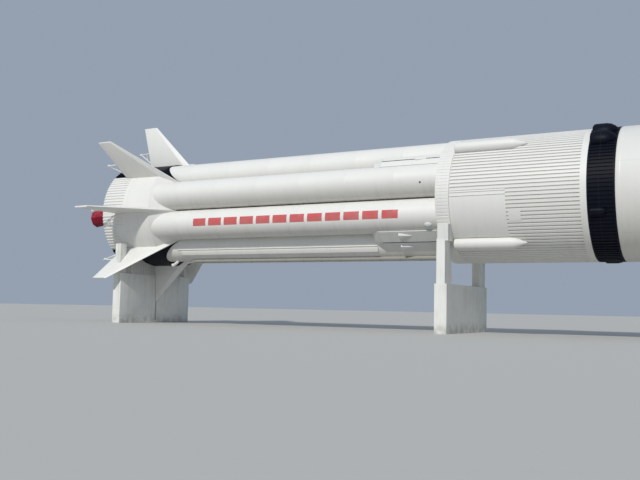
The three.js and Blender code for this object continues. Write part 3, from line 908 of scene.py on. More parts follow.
WHITE_RGB = (0.84, 0.835, 0.80)
# The tanks' sheets carry a strong painted shade on the faces that turn down.
TANK_SHEETS = {"rings": (2.88, 6.9), "seam_shade": 0.05, "patches": 0.012, "underside_shade": 0.42}
SKIN_SHEETS = {"rings": (1.9, 1.22), "sides": (22.5, 0.0), "seam_shade": 0.07, "patches": 0.02}
TANK_WHITE = Paint("white_tank", "white_paint", WHITE_RGB, 0.42, **TANK_SHEETS)
STRIPED_WHITE = StripedPaint("white_tank_striped", "white_paint", WHITE_RGB, 0.42, **TANK_SHEETS)
SKIN_WHITE = Paint("white_skin", "white_paint", WHITE_RGB, 0.45, **SKIN_SHEETS)
STAGE_WHITE = Paint("white_stage", "white_paint", WHITE_RGB, 0.4, rings=(3.4, 32.36), sides=(60.0, 10.0),
                    seam_shade=0.12, grime=(0.36, 0.31, 0.24), underside_shade=0.35)
FITTING_WHITE = Paint("white_fitting", "white_paint", WHITE_RGB, 0.45, patches=0.01)
ADAPTER_WHITE = Paint("white_adapter", "white_paint", WHITE_RGB, 0.45, rings=(2.84, 43.15), sides=(90.0, 45.0),
                      seam_shade=0.4)
# Ribbed skins, with painted shade in the valleys between the ribs.
RIBBED_WHITE = Paint("white_ribbed", "white_paint", WHITE_RGB, 0.45, seam_shade=0.0, patches=0.02, groove=3.285)
# The conduit's white paint laid as a dull grey: painted shade for the tank underside it runs along.
CONDUIT_SHADED = Paint("conduit_painted_shade", "white_paint", (0.36, 0.355, 0.32), 0.6, patches=0.04)
FAIRING_WHITE = Paint("white_fairing", "grey_paint", WHITE_RGB, 0.45, **SKIN_SHEETS)
# Light grey for the lower fairings and the vent cap: grey paint, and painted shade from the tanks above.
FAIRING_GREY_SHADED = Paint("grey_fairing_shaded", "grey_paint", (0.70, 0.71, 0.685), 0.5, **SKIN_SHEETS)
SHIELD_GREY = Paint("grey_shield", "grey_paint", (0.40, 0.39, 0.37), 0.65, patches=0.08, sides=(30.0, 0.0),
                    streaks=0.6, grime=(0.10, 0.09, 0.08), underside_shade=0.3)
BLACK = Paint("black_skin", "black_paint", (0.003, 0.0045, 0.012), 0.5, specular=0.12, grime=(0.035, 0.037, 0.045),
              rings=(1.9, 1.22), underside_shade=0.06, seam_shade=0.3)
# Dark glass for the windows, dark joint strips on the fairings, and painted shade for the depth of the tank port.
DARK = Paint("dark_glass_joint_and_hole_shade", "black_paint", (0.03, 0.03, 0.033), 0.7, specular=0.1, grime=(0.06, 0.06, 0.06))
METAL = EngineMetal("engine_steel", "engine_metal", (0.36, 0.35, 0.34), 0.38, 0.85)
RED = FadedCover("cover_paint", "red_cover", (0.27, 0.007, 0.028), 0.55, specular=0.2)
ALUMINIUM = BareSheet("silver_panels", "bare_aluminium", (0.62, 0.63, 0.64), 0.34, 0.7)
CORK = Cork("cork_cover", "cork_white", (0.78, 0.78, 0.75), 0.72)
RENDERED = CementRender("cement_render", "pier_render", (0.82, 0.82, 0.78), 0.85)


def dress_node(node: str, look: Finish) -> None:
    """Gives a CAD node that keeps its shape a finish.

    Args:
        node: the node's name.
        look: its finish.
    """
    body = bpy.data.objects[node]
    body.data.materials.clear()
    body.data.materials.append(look.material())
    LOG.info("%s: CAD node dressed in %s", node, look.name)


def finish_piece(work: Work, name: str, look: Finish, *nodes: str, body: str = AIRFRAME) -> None:
    """Names a piece, gives it its finish and body, and lets it stand for CAD nodes.

    Args:
        work: the finished piece.
        name: what it is called.
        look: its finish.
        nodes: the CAD nodes that it stands for.
        body: the CAD body that it rides on.
    """
    work.body.name = name
    work.body.data.name = name
    work.body.data.materials.clear()
    work.body.data.materials.append(look.material())
    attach(work.body, body)
    if nodes:
        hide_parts(*nodes)
    LOG.info("%s: %d faces in %s", name, len(work.body.data.polygons), look.name)


@dataclass
class TankCluster:
    """The first stage's centre tank and the eight tanks about it."""

    aft: float = 4.67
    fore: float = 23.69
    centre_radius: float = 1.3335
    rounding: float = 0.03
    belts: Sequence[float] = (6.9, 9.78, 12.66, 15.54, 18.42, 21.3)
    belt_height: float = 0.002
    letters: str = "abcdefgh"
    striped: str = "c"
    cap_seat: Point = (112.5, 131.0)
    stub_seat: Point = (157.5, 163.0)
    port_seat: Point = (67.5, 103.0)

    def tube(self, radius: float) -> Work:
        """Turns one tank with its weld belts.

        Args:
            radius: the tank's radius.

        Returns:
            The tank, shaded smooth.
        """
        proud = radius + self.belt_height
        outline = [(self.aft, 0.0), (self.aft, radius - self.rounding), (self.aft + self.rounding, radius)]
        for belt in self.belts:
            outline += [(belt - 0.03, radius), (belt - 0.02, proud), (belt + 0.02, proud), (belt + 0.03, radius)]
        return Work.turned([*outline, (self.fore, radius), (self.fore, 0.0)]).smooth()

    def fittings(self) -> None:
        """Adds a vent cap, a port and a flanged vent stub to the viewer's-side tanks."""
        skin = TANK_RADIUS
        cap = Work.dome((23.2, 0.0, skin - 0.01), (0.21, 0.16, 0.11))
        finish_piece(cap.mount(on_tank(*self.cap_seat)), "tank_vent_cap", FAIRING_GREY_SHADED)
        stub = Work.pipe([(5.75, 0.0, skin - 0.05), (5.72, 0.0, skin + 0.08), (5.6, 0.0, skin + 0.19),
                          (5.42, 0.0, skin + 0.3)], 0.09, curved=True)
        flange = Work.turned(band(-0.04, 0.04, 0.0, 0.13), 24).bevel(0.01)
        stub.join(flange.settle(moved(5.43, z=skin + 0.3) @ turn(31.0, "Y")))
        finish_piece(stub.mount(on_tank(*self.stub_seat)), "tank_vent_stub", FITTING_WHITE)
        port = Work.ring([(-0.01, 0.03), (0.015, 0.033), (0.015, 0.045), (-0.01, 0.052)], 24)
        port.join(Work.turned([(-0.01, 0.0), (-0.01, 0.032), (0.006, 0.032), (0.008, 0.0)], 24))
        port.settle(rocket_frame() @ on_tank(*self.port_seat) @ moved(22.8, z=skin) @ turn(-90.0, "Y"))
        # The whole port is dark: painted shade for the depth of its hole.
        finish_piece(port, "tank_port", DARK)

    def build(self) -> None:
        """Builds the nine tanks and their fittings."""
        centre = self.tube(self.centre_radius).settle(rocket_frame())
        finish_piece(centre, "tank_centre", TANK_WHITE, "centre_tank")
        pattern = self.tube(TANK_RADIUS)
        for i, letter in enumerate(self.letters):
            tank = pattern.copy(rocket_frame() @ turn(22.5 + 45.0 * i) @ moved(z=TANK_CIRCLE))
            look = STRIPED_WHITE if letter == self.striped else TANK_WHITE
            finish_piece(tank, "tank_outer_" + letter, look, "outer_tank_" + letter)
        pattern.drop()
        self.fittings()


@dataclass
class TankRuns:
    """What runs along the tanks: a round conduit, a flat duct with a rail, and the valley fairings."""

    conduit: tuple[float, float] = (6.9, 23.69)
    conduit_radius: float = 0.13
    clamp_pitch: float = 1.2
    low_tank: float = 157.5
    duct: tuple[float, float] = (6.3, 19.9)
    duct_sides: tuple[float, float] = (108.5, 124.0)
    duct_height: float = 0.1
    strap_pitch: float = 1.9
    rail: float = 103.2
    fairings: Sequence[tuple[str, float, float]] = (
        ("upper_near", 49.5, 0.36), ("lower_near", 136.5, 0.7), ("lower_far", 223.5, 0.7), ("upper_far", 310.5, 0.36))
    aft: float = 19.85
    slant: float = 0.5
    fore: float = 23.69
    crown: float = 3.1
    ridge: float = 0.07
    depth: float = 0.36
    wide_scoops: Sequence[tuple[float, float, float, float]] = ((21.7, -0.38, 0.34, 0.2), (21.8, 0.4, 0.36, 0.2))
    narrow_scoops: Sequence[tuple[float, float, float, float]] = ((22.6, 0.0, 0.3, 0.1),)

    def round_conduit(self) -> Work:
        """Turns the conduit, with clamps along it and a bent end.

        Returns:
            The conduit, along the axis.
        """
        aft, fore = self.conduit
        radius = self.conduit_radius
        bar = Work.turned([(aft, 0.0), (aft + 0.1, 0.07), (aft + 0.35, radius - 0.005), (aft + 0.5, radius),
                           (fore, radius), (fore, 0.0)], 32)
        clamp = Work.ring(band(-0.04, 0.04, radius - 0.01, radius + 0.02), 32).settle(moved(aft + 0.9))
        clamp.row(int((fore - aft - 1) / self.clamp_pitch), self.clamp_pitch)
        end = Work.pipe([(aft + 0.25, 0.0, 0.05), (aft - 0.05, 0.0, 0.14), (aft - 0.2, 0.05, 0.2)], 0.035, curved=True)
        return bar.join(clamp, end)

    def side_duct(self) -> Work:
        """Makes the flat duct along the low tank's side, with joint straps on it and a rail above it.

        Returns:
            The duct, about its tank's axis.
        """
        aft, fore = self.duct
        first, last = self.duct_sides
        low, high = TANK_RADIUS - 0.01, TANK_RADIUS + self.duct_height
        outline = [(aft, low), (aft + 0.25, high), (fore, high), (fore, low)]
        channel = Work.sector(outline, first, last, 8).bevel(0.015)
        strap = Work.sector(band(aft + 1.0, aft + 1.06, low, high + 0.008), first - 0.5, last + 0.5, 8)
        strap.row(int((fore - aft - 1.0) / self.strap_pitch), self.strap_pitch)
        rail = Work.pipe([polar(x, TANK_RADIUS + 0.035, self.rail) for x in (aft - 0.1, fore)], 0.03)
        return channel.join(strap, rail)

    def across(self, station: float, half: float, crown: float) -> list[Corner]:
        """Gives the five corners of a fairing's section at a station."""
        low = self.crown - self.depth
        return [(station, -half, low), (station, half, low), (station, half, crown),
                (station, 0.0, crown + self.ridge), (station, -half, crown)]

    def fairing(self, azimuth: float, half: float) -> Work:
        """Makes one fairing: a ridged roof with a slanted aft end, cut to sit on its two tanks.

        Args:
            azimuth: where it stands.
            half: half its width.

        Returns:
            The fairing, at the top.
        """
        start = self.aft + self.slant
        roof = Work.bridged(self.across(start, half, self.crown), self.across(self.fore, half, self.crown))
        nose = Work.bridged(self.across(self.aft, half, self.crown - self.depth / 2),
                            self.across(start + 0.01, half, self.crown))
        roof.combine(Solver.FUSE, nose)
        left = math.floor(azimuth / 45.0) * 45.0 + 22.5 * (1 if azimuth % 45.0 >= 22.5 else -1)
        for tank in (left, left + 45.0):
            bore = Work.turned(band(self.aft - 1, self.fore + 1, 0.0, TANK_RADIUS + 0.002))
            roof.combine(Solver.CUT, bore.settle(turn(tank - azimuth) @ moved(z=TANK_CIRCLE)))
        return roof.bevel(0.012, 2, 8.0)

    def scoops(self, half: float) -> list[Work]:
        """Makes a fairing's scoops: two on a wide fairing, a small one on a narrow one.

        Args:
            half: half the fairing's width.

        Returns:
            The scoops, at the top.
        """
        made = []
        for station, aside, length, wide in self.wide_scoops if half > 0.5 else self.narrow_scoops:
            low = self.crown + self.ridge * (1 - abs(aside) / half) - 0.02
            mouth = hump((station - length, aside, low), wide, wide * 0.85, wide * 0.75)
            tail = hump((station + length, aside, low), 0.03, 0.02, 0.025)
            made.append(Work.bridged(mouth, tail).bevel(0.015, 3, 20.0))
        return made

    def build(self) -> None:
        """Builds the conduit, the duct, the fairings and the joint along each fairing's ridge."""
        place = turn(self.low_tank) @ moved(z=TANK_CIRCLE + TANK_RADIUS + 0.05)
        finish_piece(self.round_conduit().mount(place), "conduit_run", CONDUIT_SHADED, "tank_conduit")
        finish_piece(self.side_duct().mount(on_tank(self.low_tank), 20.0), "tank_side_duct", FITTING_WHITE)
        joints = []
        top = self.crown + self.ridge
        for side, azimuth, half in self.fairings:
            joint = Work.block((self.aft + self.slant, -0.022, top - 0.03), (self.fore, 0.022, top + 0.006))
            joints.append(joint.bevel(0.004, 1).settle(turn(azimuth)))
            panel = self.fairing(azimuth, half).join(*self.scoops(half)).mount(turn(azimuth), 20.0)
            # The lower fairings get the grey with painted shade, the upper ones white.
            look = FAIRING_GREY_SHADED if "lower" in side else FAIRING_WHITE
            finish_piece(panel, "valley_" + side, look, "valley_fairing_" + side)
        finish_piece(joints[0].join(*joints[1:]).settle(rocket_frame()), "valley_joints", DARK)


@dataclass
class TailShroud:
    """The four quadrants of sheet round the tail, with teeth in the tank valleys, and the heat shield."""

    rim: float = 1.22
    inner: float = 3.215
    outer: float = 3.29
    shoulder: float = 5.0
    tank_aft: float = 4.66
    tank_clear: float = 0.8902
    tooth_tip: float = 6.4
    tooth_outer: float = 2.37
    tooth_inner: float = 2.0
    seam_half: float = 44.99
    arc_steps: int = 54
    frames: Sequence[float] = (3.1, 4.9)
    frame_half: float = 44.9
    ribs: int = 27
    rib_height: float = 0.045
    rib_half: float = 0.03
    rib_end: float = 2.9
    rib_end_at_pier: float = 2.4
    pier_arc: tuple[float, float] = (105.0, 255.0)
    plain_middle: float = 2.0
    shield: tuple[float, float] = (1.31, 1.40)
    openings: Sequence[tuple[float, float, float]] = ((2.54, 0.73, 0.0), (0.875, 0.42, 45.0))

    def shell(self) -> Work:
        """Turns one quadrant and cuts its two tanks out of it.

        Returns:
            The quadrant, at the top.
        """
        outline = [(self.rim, self.inner), (self.rim, self.outer - 0.01), (self.rim + 0.01, self.outer),
                   (self.shoulder, self.outer), (self.tooth_tip, self.tooth_outer),
                   (self.tooth_tip, self.tooth_inner), (self.tank_aft, self.tooth_inner),
                   (self.tank_aft, self.inner)]
        quadrant = Work.sector(outline, -self.seam_half, self.seam_half, self.arc_steps)
        for azimuth in (-22.5, 22.5):
            tank = Work.turned(band(self.tank_aft - 0.5, self.tooth_tip + 1.1, 0.0, self.tank_clear))
            quadrant.combine(Solver.CUT, tank.settle(on_tank(azimuth)))
        return quadrant

    def rib(self, azimuth: float, aside: float) -> Work:
        """Makes one rib. It stops short where the tail pier holds the shroud.

        Args:
            azimuth: where it stands on the rocket.
            aside: how far it stands from its quadrant's middle.

        Returns:
            The rib, in its quadrant.
        """
        first, last = self.pier_arc
        end = self.rib_end_at_pier if first < azimuth < last else self.rib_end
        low, high = self.outer - 0.02, self.outer + self.rib_height
        outline = [(self.rim, -self.rib_half, low), (self.rim, -self.rib_half, high),
                   (end - 0.08, -self.rib_half, high), (end, -self.rib_half, low)]
        return Work.prism(outline, (0.0, 2 * self.rib_half, 0.0)).bevel(0.01, 1).settle(turn(aside))

    def stiffeners(self) -> list[Work]:
        """Bends the two frames that stiffen a quadrant."""
        return [Work.sector(band(x, x + 0.05, self.outer - 0.01, self.outer + 0.006), -self.frame_half,
                            self.frame_half, self.arc_steps) for x in self.frames]

    def heat_shield(self) -> Work:
        """Cuts the engines' openings out of the heat shield, and rings each with a collar.

        Returns:
            The shield.
        """
        aft, fore = self.shield
        outer = self.inner - 0.002
        shield = Work.turned([(aft, 0.0), (aft, outer - 0.12), (aft - 0.03, outer - 0.1), (aft - 0.03, outer),
                              (fore, outer), (fore, 0.0)], ROUND_STEPS)
        collars = []
        for circle, radius, first in self.openings:
            for i in range(4):
                place = turn(first + 90.0 * i) @ moved(z=circle)
                shield.combine(Solver.CUT, Work.turned(band(1.0, 2.0, 0.0, radius), 48).settle(place))
                collar = Work.ring([(aft - 0.03, radius + 0.001), (aft - 0.03, radius + 0.04),
                                    (fore, radius + 0.05), (fore, radius + 0.001)], 48).settle(place)
                if circle + radius + 0.05 > outer:
                    collar.combine(Solver.CUT, Work.ring(band(1.0, 2.0, outer, 3.6), ROUND_STEPS))
                collars.append(collar)
        return shield.join(*collars)

    def build(self) -> None:
        """Builds the quadrants with their ribs and frames, and the shield."""
        shell = self.shell()
        turns = [90.0 * k / self.ribs - 45.0 for k in range(1, self.ribs)]
        for i, side in enumerate(SIDES):
            ribs = [self.rib(90.0 * i + aside, aside) for aside in turns if abs(aside) > self.plain_middle]
            quadrant = shell.copy().join(*ribs, *self.stiffeners()).mount(turn(90.0 * i), 20.0)
            look = SKIN_WHITE if side in ("near", "far") else BLACK
            finish_piece(quadrant, "shroud_" + side, look, "tail_shroud_" + side)
        shell.drop()
        finish_piece(self.heat_shield().mount(), "shield_plate", SHIELD_GREY, "heat_shield")
        dress_node("thrust_frame", SHIELD_GREY)


@dataclass
class Fins:
    """Eight fins, each with a hold-down bracket aft of it."""

    count: int = 8
    root_radius: float = 2.45
    tip_radius: float = 6.04
    root: Corner = (2.59, 6.35, 0.185)
    tip: Corner = (1.57, 2.61, 0.055)
    ridge: float = 0.85
    apex: Corner = (1.33, 0.0, 4.27)
    feet: Sequence[Corner] = ((2.15, 0.0, 4.33), (2.36, 0.0, 3.5))
    stay_foot: Corner = (2.3, 0.0, 3.55)

    def section(self, chord: Corner, radius: float) -> list[Corner]:
        """Gives the six corners of the blade at a radius.

        Args:
            chord: the stations of its two edges, and half its thickness.
            radius: how far out the section stands.

        Returns:
            The corners, in order round the section.
        """
        trailing, leading, half = chord
        ridge = trailing + (leading - trailing) * self.ridge
        near = [(trailing, half * 0.85, radius), (ridge, half, radius), (leading, half * 0.12, radius)]
        return near + [(x, -y, z) for x, y, z in reversed(near)]

    def blade(self, grow: float = 0.0) -> Work:
        """Bridges the root section to the tip's.

        Args:
            grow: how much larger than the fin the blade is, for the room round a fin.

        Returns:
            The blade, at the top.
        """
        root, tip = ((trailing - grow, leading + grow, half + grow)
                     for trailing, leading, half in (self.root, self.tip))
        return Work.bridged(self.section(root, self.root_radius), self.section(tip, self.tip_radius + grow))

    def along(self, foot: Corner, share: float) -> Corner:
        """Gives a point on the arm from the apex to a foot."""
        return tuple(a + (b - a) * share for a, b in zip(self.apex, foot))

    def bracket(self) -> Work:
        """Welds the hold-down bracket: two arms, a stay, a tie, a pad with a shoe, and a plate at each foot.

        Returns:
            The bracket, at the top.
        """
        high, low = self.feet
        arms = [Work.pipe([self.apex, foot], 0.04) for foot in self.feet]
        stay = Work.pipe([self.along(low, 0.75), self.stay_foot], 0.025)
        tie = Work.pipe([self.along(high, 0.55), self.along(low, 0.55)], 0.022)
        x, _, z = self.apex
        pad = Work.block((x - 0.07, -0.07, z - 0.07), (x + 0.07, 0.07, z + 0.07)).bevel(0.015)
        shoe = Work.turned(band(x - 0.1, x - 0.06, 0.0, 0.06), 24).settle(moved(z=z))
        plates = [Work.block((fx - 0.02, -0.07, fz - 0.07), (fx + 0.06, 0.07, fz + 0.07)).bevel(0.012)
                  for fx, _, fz in self.feet]
        return pad.join(*arms, stay, tie, shoe, *plates)

    def build(self) -> None:
        """Builds the fins."""
        fin = self.blade().bevel(0.012, 2, 8.0).join(self.bracket())
        for i in range(self.count):
            finish_piece(fin.copy().mount(turn(45.0 * i)), f"tail_fin_{i + 1}", FITTING_WHITE, f"fin_{i + 1}")
        fin.drop()


@dataclass
class Engines:
    """Eight engines. An engine's own frame has its gimbal at the origin and its exit at -X."""

    gimbal: float = 2.54
    outboard: Point = (2.413, 6.0)
    inboard: Point = (0.813, 3.0)
    droop: float = 8.0
    exit: float = 2.5
    exit_radius: float = 0.47
    wall: float = 0.03
    tubes: int = 60
    tubes_end: float = -0.95
    tube_inset: float = 0.978
    bands: Sequence[Point] = ((1.1, 0.254), (1.3, 0.304), (1.55, 0.351), (1.85, 0.398), (2.2, 0.443), (2.46, 0.475))
    pump_aside: float = 0.5
    ear_lows: Point = (-0.1006, 0.0606)
    block_half: float = 0.06
    cover_from: float = 1.55
    cover_radius: float = 0.545

    def seat(self, azimuth: float, circle: float, cant: float, droop: float = 0.0) -> Matrix:
        """Gives the way from an engine's own frame to the model.

        Args:
            azimuth: where the engine stands.
            circle: how far out its gimbal stands.
            cant: how far its exit leans outwards.
            droop: how far it's swung aside.

        Returns:
            The way as a matrix.
        """
        return (rocket_frame() @ turn(azimuth) @ moved(self.gimbal, z=circle)
                @ turn(cant, "Y") @ turn(droop, "Z"))

    def bell(self) -> Work:
        """Turns the chamber and the bell, draws every other seam in to make the tube wall, adds the bands.

        Returns:
            The bell, in the engine's own frame.
        """
        outside = [(-self.exit, self.exit_radius), (-2.1, 0.43), (-1.7, 0.375), (-1.4, 0.322),
                   (-1.2, 0.28), (-1.05, 0.237), (-0.93, 0.2), (-0.86, 0.192), (-0.78, 0.21),
                   (-0.68, 0.268), (-0.3, 0.27), (-0.24, 0.25), (-0.2, 0.17), (-0.17, 0.17), (-0.17, 0.0)]
        inside = [(x, r - self.wall) for x, r in reversed(outside[:7])]
        bell = Work.turned([(-0.91, 0.0), *inside, *outside], self.tubes * 2)
        pitch = 180.0 / self.tubes
        for vertex in bell.body.data.vertices:
            seam = round(math.degrees(math.atan2(-vertex.co.y, vertex.co.z)) / pitch)
            vertex.select = vertex.co.x < self.tubes_end and seam % 2 == 1
        with bell.editing(everything=False):
            bpy.ops.mesh.select_mode(type="VERT")
            bpy.ops.transform.resize(value=(1.0, self.tube_inset, self.tube_inset), center_override=(0.0, 0.0, 0.0))
        return bell.join(*(Work.ring([(-x, r - 0.02), (-x, r + 0.016), (-x - 0.035, r + 0.018),
                                      (-x - 0.035, r - 0.02)], 48) for x, r in self.bands))

    def pump(self) -> Work:
        """Turns the pump beside the chamber, and bends its ducts.

        Returns:
            The pump, in the engine's own frame.
        """
        beside = moved(y=self.pump_aside)
        outline = [(-0.72, 0.0), (-0.72, 0.18), (-0.6, 0.19), (-0.56, 0.12),
                   (-0.46, 0.12), (-0.42, 0.19), (-0.32, 0.19), (-0.3, 0.1), (-0.3, 0.0)]
        turbine = Work.turned(outline, 32).settle(beside)
        routes = (
            (0.06, [(-0.38, 0.5, 0.0), (-0.4, 0.36, 0.1), (-0.34, 0.2, 0.1), (-0.32, 0.05, 0.0)]),
            (0.05, [(-0.62, 0.5, 0.0), (-0.66, 0.42, 0.1), (-0.6, 0.3, 0.12), (-0.55, 0.2, 0.08)]),
            (0.028, [(-0.45, 0.27, -0.05), (-0.62, 0.29, -0.06), (-0.8, 0.24, -0.05), (-0.95, 0.215, 0.0)]),
        )
        ducts = [Work.pipe(route, radius, curved=True) for radius, route in routes]
        flanges = [Work.ring(band(x, x - 0.025, 0.1, 0.205), 32).settle(beside) for x in (-0.34, -0.66)]
        link = Work.block((-0.6, 0.0, -0.1), (-0.42, self.pump_aside, 0.1)).bevel(0.03)
        return turbine.join(*ducts, *flanges, link)

    def ears(self) -> Work:
        """Makes the two ears that hold the gimbal block."""
        pair = [Work.block((-0.2, -0.05, low), (0.04, 0.05, low + 0.04)).bevel(0.012) for low in self.ear_lows]
        return pair[0].join(pair[1])

    def gimbal_block(self) -> Work:
        """Makes the cross block, with its faces set in.

        Returns:
            The block, about the gimbal.
        """
        half = self.block_half
        block = Work.block((-half, -half, -half), (half, half, half))
        with block.editing():
            bpy.ops.mesh.select_mode(type="FACE")
            bpy.ops.mesh.inset(thickness=0.022, use_individual=True)
            bpy.ops.transform.resize(value=(0.9, 0.9, 0.9), center_override=(0.0, 0.0, 0.0))
            bpy.ops.mesh.select_mode(type="VERT")
        return block.bevel(0.006)

    def cover(self) -> Work:
        """Makes the eight-sided cover that closes an engine's bell.

        Returns:
            The cover, in the engine's own frame.
        """
        end, start = -self.exit - 0.05, -self.cover_from
        full, flat = self.cover_radius, self.cover_radius - 0.015
        return Work.turned([
            (end, 0.0), (end, flat - 0.05), (end + 0.03, flat - 0.005), (end + 0.03, full), (end + 0.1, full),
            (end + 0.1, flat), (start - 0.08, flat), (start - 0.08, full), (start, full), (start, 0.37),
            (-1.7, 0.378), (-2.1, 0.434), (-2.503, 0.474), (-2.503, 0.0)], 8).bevel(0.008)

    def build(self) -> None:
        """Builds the engines, their gimbal blocks, and the cover of the viewer's-side engine."""
        engine = self.bell().join(self.pump()).smooth(20.0)
        stem = Work.turned([(-0.2, 0.0), (-0.2, 0.15), (-0.1, 0.15), (-0.08, 0.17), (-0.04, 0.17), (-0.02, 0.15),
                            (0.405, 0.15), (0.405, 0.0)], 32).smooth()
        ears, block = self.ears(), self.gimbal_block()
        for i, side in enumerate(SIDES):
            swung = self.seat(90.0 * i, *self.outboard, self.droop if side == "near" else 0.0)
            finish_piece(engine.copy().join(ears.copy()).settle(swung), "engine_outer_" + side, METAL,
                         "outboard_engine_" + side, body="engine_" + side)
            finish_piece(block.copy(self.seat(90.0 * i, *self.outboard)).smooth(), "cross_block_" + side, METAL,
                         "gimbal_block_" + side, body="gimbal_" + side)
            fixed = engine.copy().join(stem.copy()).settle(self.seat(45.0 + 90.0 * i, *self.inboard))
            finish_piece(fixed, f"engine_inner_{i + 1}", METAL, f"inboard_engine_{i + 1}")
        for pattern in (engine, stem, ears, block):
            pattern.drop()
        cover = self.cover().smooth(20.0).settle(self.seat(90.0, *self.outboard, self.droop))
        finish_piece(cover, "cover_red", RED, "engine_cover", body="engine_near")


@dataclass
class Skirt:
    """A ribbed skirt: a skin, ribs along it, and a ring at each end."""

    name: str
    node: str
    aft: float
    fore: float
    look: Finish
    ribs: int = 108
    height: float = 0.045
    share: float = 0.45
    rings: tuple[float, float] = (0.12, 0.12)
    rib_foot: float = 1.35
    steps: int = 216

    def rib(self, aft: float, fore: float) -> Work:
        """Makes one rib from station to station, widest at its foot.

        Args:
            aft: the station of its aft end.
            fore: the station of its forward end.

        Returns:
            The rib, at the top.
        """
        half = math.pi * STAGE_RADIUS / self.ribs * self.share
        low = STAGE_RADIUS - self.height - 0.01
        return Work.prism(hump((aft, 0.0, low), half * self.rib_foot, half, STAGE_RADIUS - low), (fore - aft, 0.0, 0.0))

    def skin(self) -> Work:
        """Turns the skin with its end rings.

        Returns:
            The skin.
        """
        low, high = STAGE_RADIUS - self.height, STAGE_RADIUS
        aft, fore = self.aft + self.rings[0], self.fore - self.rings[1]
        return Work.turned([(self.aft, 0.0), (self.aft, high - 0.015), (self.aft + 0.01, high), (aft, high),
                            (aft, low), (fore, low), (fore, high), (self.fore - 0.01, high),
                            (self.fore, high - 0.015), (self.fore, 0.0)], self.steps)

    def ribbing(self) -> list[Work]:
        """Sets the ribs all round, between the end rings."""
        rib = self.rib(self.aft + self.rings[0], self.fore - self.rings[1])
        return [rib.around(self.ribs, 360.0 / self.ribs)]

    def trim(self) -> list[Work]:
        """Makes what stands on the skirt besides its ribs."""
        return []

    def build(self) -> None:
        """Builds the skirt."""
        whole = self.skin().join(*self.ribbing(), *self.trim()).mount(angle=25.0)
        finish_piece(whole, self.name, self.look, self.node)


@dataclass
class Interstage(Skirt):
    """The long ribbed interstage, with a smooth panel and four retro motor fairings."""

    panel: tuple[float, float, float, float] = (24.46, 27.3, 88.0, 131.0)
    patch: tuple[float, float, float, float] = (27.4, 28.0, 106.0, 116.0)
    lines: Sequence[float] = (89.2, 92.4)
    motors: Sequence[float] = (43.0, 137.0, 223.0, 317.0)
    motor_bands: Sequence[float] = (25.2, 26.3, 27.3)

    def motor(self) -> Work:
        """Turns one retro motor fairing, with the bands that hold it.

        Returns:
            The fairing, at the top.
        """
        outline = [(24.46, 0.0), (24.46, 0.27), (24.5, 0.3), (24.6, 0.31), (27.3, 0.31), (27.42, 0.3),
                   (27.55, 0.27), (28.1, 0.035), (28.14, 0.0)]
        bands = [Work.ring(band(x, x + 0.05, 0.3, 0.316), 40) for x in self.motor_bands]
        return Work.turned(outline, 40).join(*bands).settle(moved(z=STAGE_RADIUS + 0.06))

    def ribbing(self) -> list[Work]:
        """Sets the ribs all round, with short ones ahead of the panel.

        Returns:
            The long ribs, and the short ones.
        """
        _, edge, first, last = self.panel
        pitch = 360.0 / self.ribs
        start, end = self.aft + self.rings[0], self.fore - self.rings[1]
        ahead = [k for k in range(self.ribs) if first < k * pitch < last]
        whole = self.rib(start, end).around(self.ribs - len(ahead), pitch, (ahead[-1] + 1) * pitch)
        return [whole, self.rib(edge, end).around(len(ahead), pitch, ahead[0] * pitch)]

    def trim(self) -> list[Work]:
        """Makes the panel, the motors, two thin lines along the panel's top and the smooth patch ahead of it.

        Returns:
            All of them, in place.
        """
        low, high = STAGE_RADIUS - self.height - 0.01, STAGE_RADIUS + 0.012
        aft, fore, first, last = self.panel
        panel = Work.sector(band(aft, fore, low, STAGE_RADIUS), first, last, 26)
        motors = [self.motor().settle(turn(a)) for a in self.motors]
        lines = [Work.pipe([polar(aft, high, a), polar(fore, high, a)], 0.022) for a in self.lines]
        start, end, left, right = self.patch
        return [panel, *motors, *lines, Work.sector(band(start, end, low, high), left, right, 6)]


@dataclass
class AftSkirt(Skirt):
    """The black skirt of the second stage, with its ullage motors and attitude modules."""

    ullage: Sequence[float] = (110.0, 238.0, 350.0)
    modules: Sequence[float] = (35.0, 215.0)
    lobe_apart: float = 7.8

    def trim(self) -> list[Work]:
        """Turns the ullage motor fairings."""
        outline = [(31.2, 0.0), (31.2, 0.13), (31.24, 0.16), (31.7, 0.16), (31.8, 0.14), (31.9, 0.085), (31.96, 0.0)]
        return [Work.turned(outline, 32).settle(turn(a) @ moved(z=STAGE_RADIUS + 0.04)) for a in self.ullage]

    def module(self) -> Work:
        """Makes an attitude module: two flattened lobes side by side, and a nozzle.

        Returns:
            The module, at the top.
        """
        outline = [(31.12, 0.0), (31.12, 0.36), (31.16, 0.42), (31.24, 0.46), (31.75, 0.46), (31.95, 0.4),
                   (32.13, 0.26), (32.25, 0.1), (32.28, 0.0)]
        flat = moved(z=STAGE_RADIUS) @ Matrix.Diagonal((1.0, 1.0, 0.7, 1.0))
        lobes = [Work.turned(outline, 48).settle(turn(a) @ flat) for a in (-self.lobe_apart, self.lobe_apart)]
        nozzle = Work.turned([(-0.02, 0.0), (-0.02, 0.09), (0.1, 0.05), (0.1, 0.0)], 24)
        return lobes[0].join(lobes[1], nozzle.settle(moved(31.13, z=STAGE_RADIUS + 0.12)))

    def build(self) -> None:
        """Builds the skirt and the modules."""
        super().build()
        for i, azimuth in enumerate(self.modules, 1):
            finish_piece(self.module().mount(turn(azimuth)), f"module_{i}", BLACK, f"attitude_module_{i}")


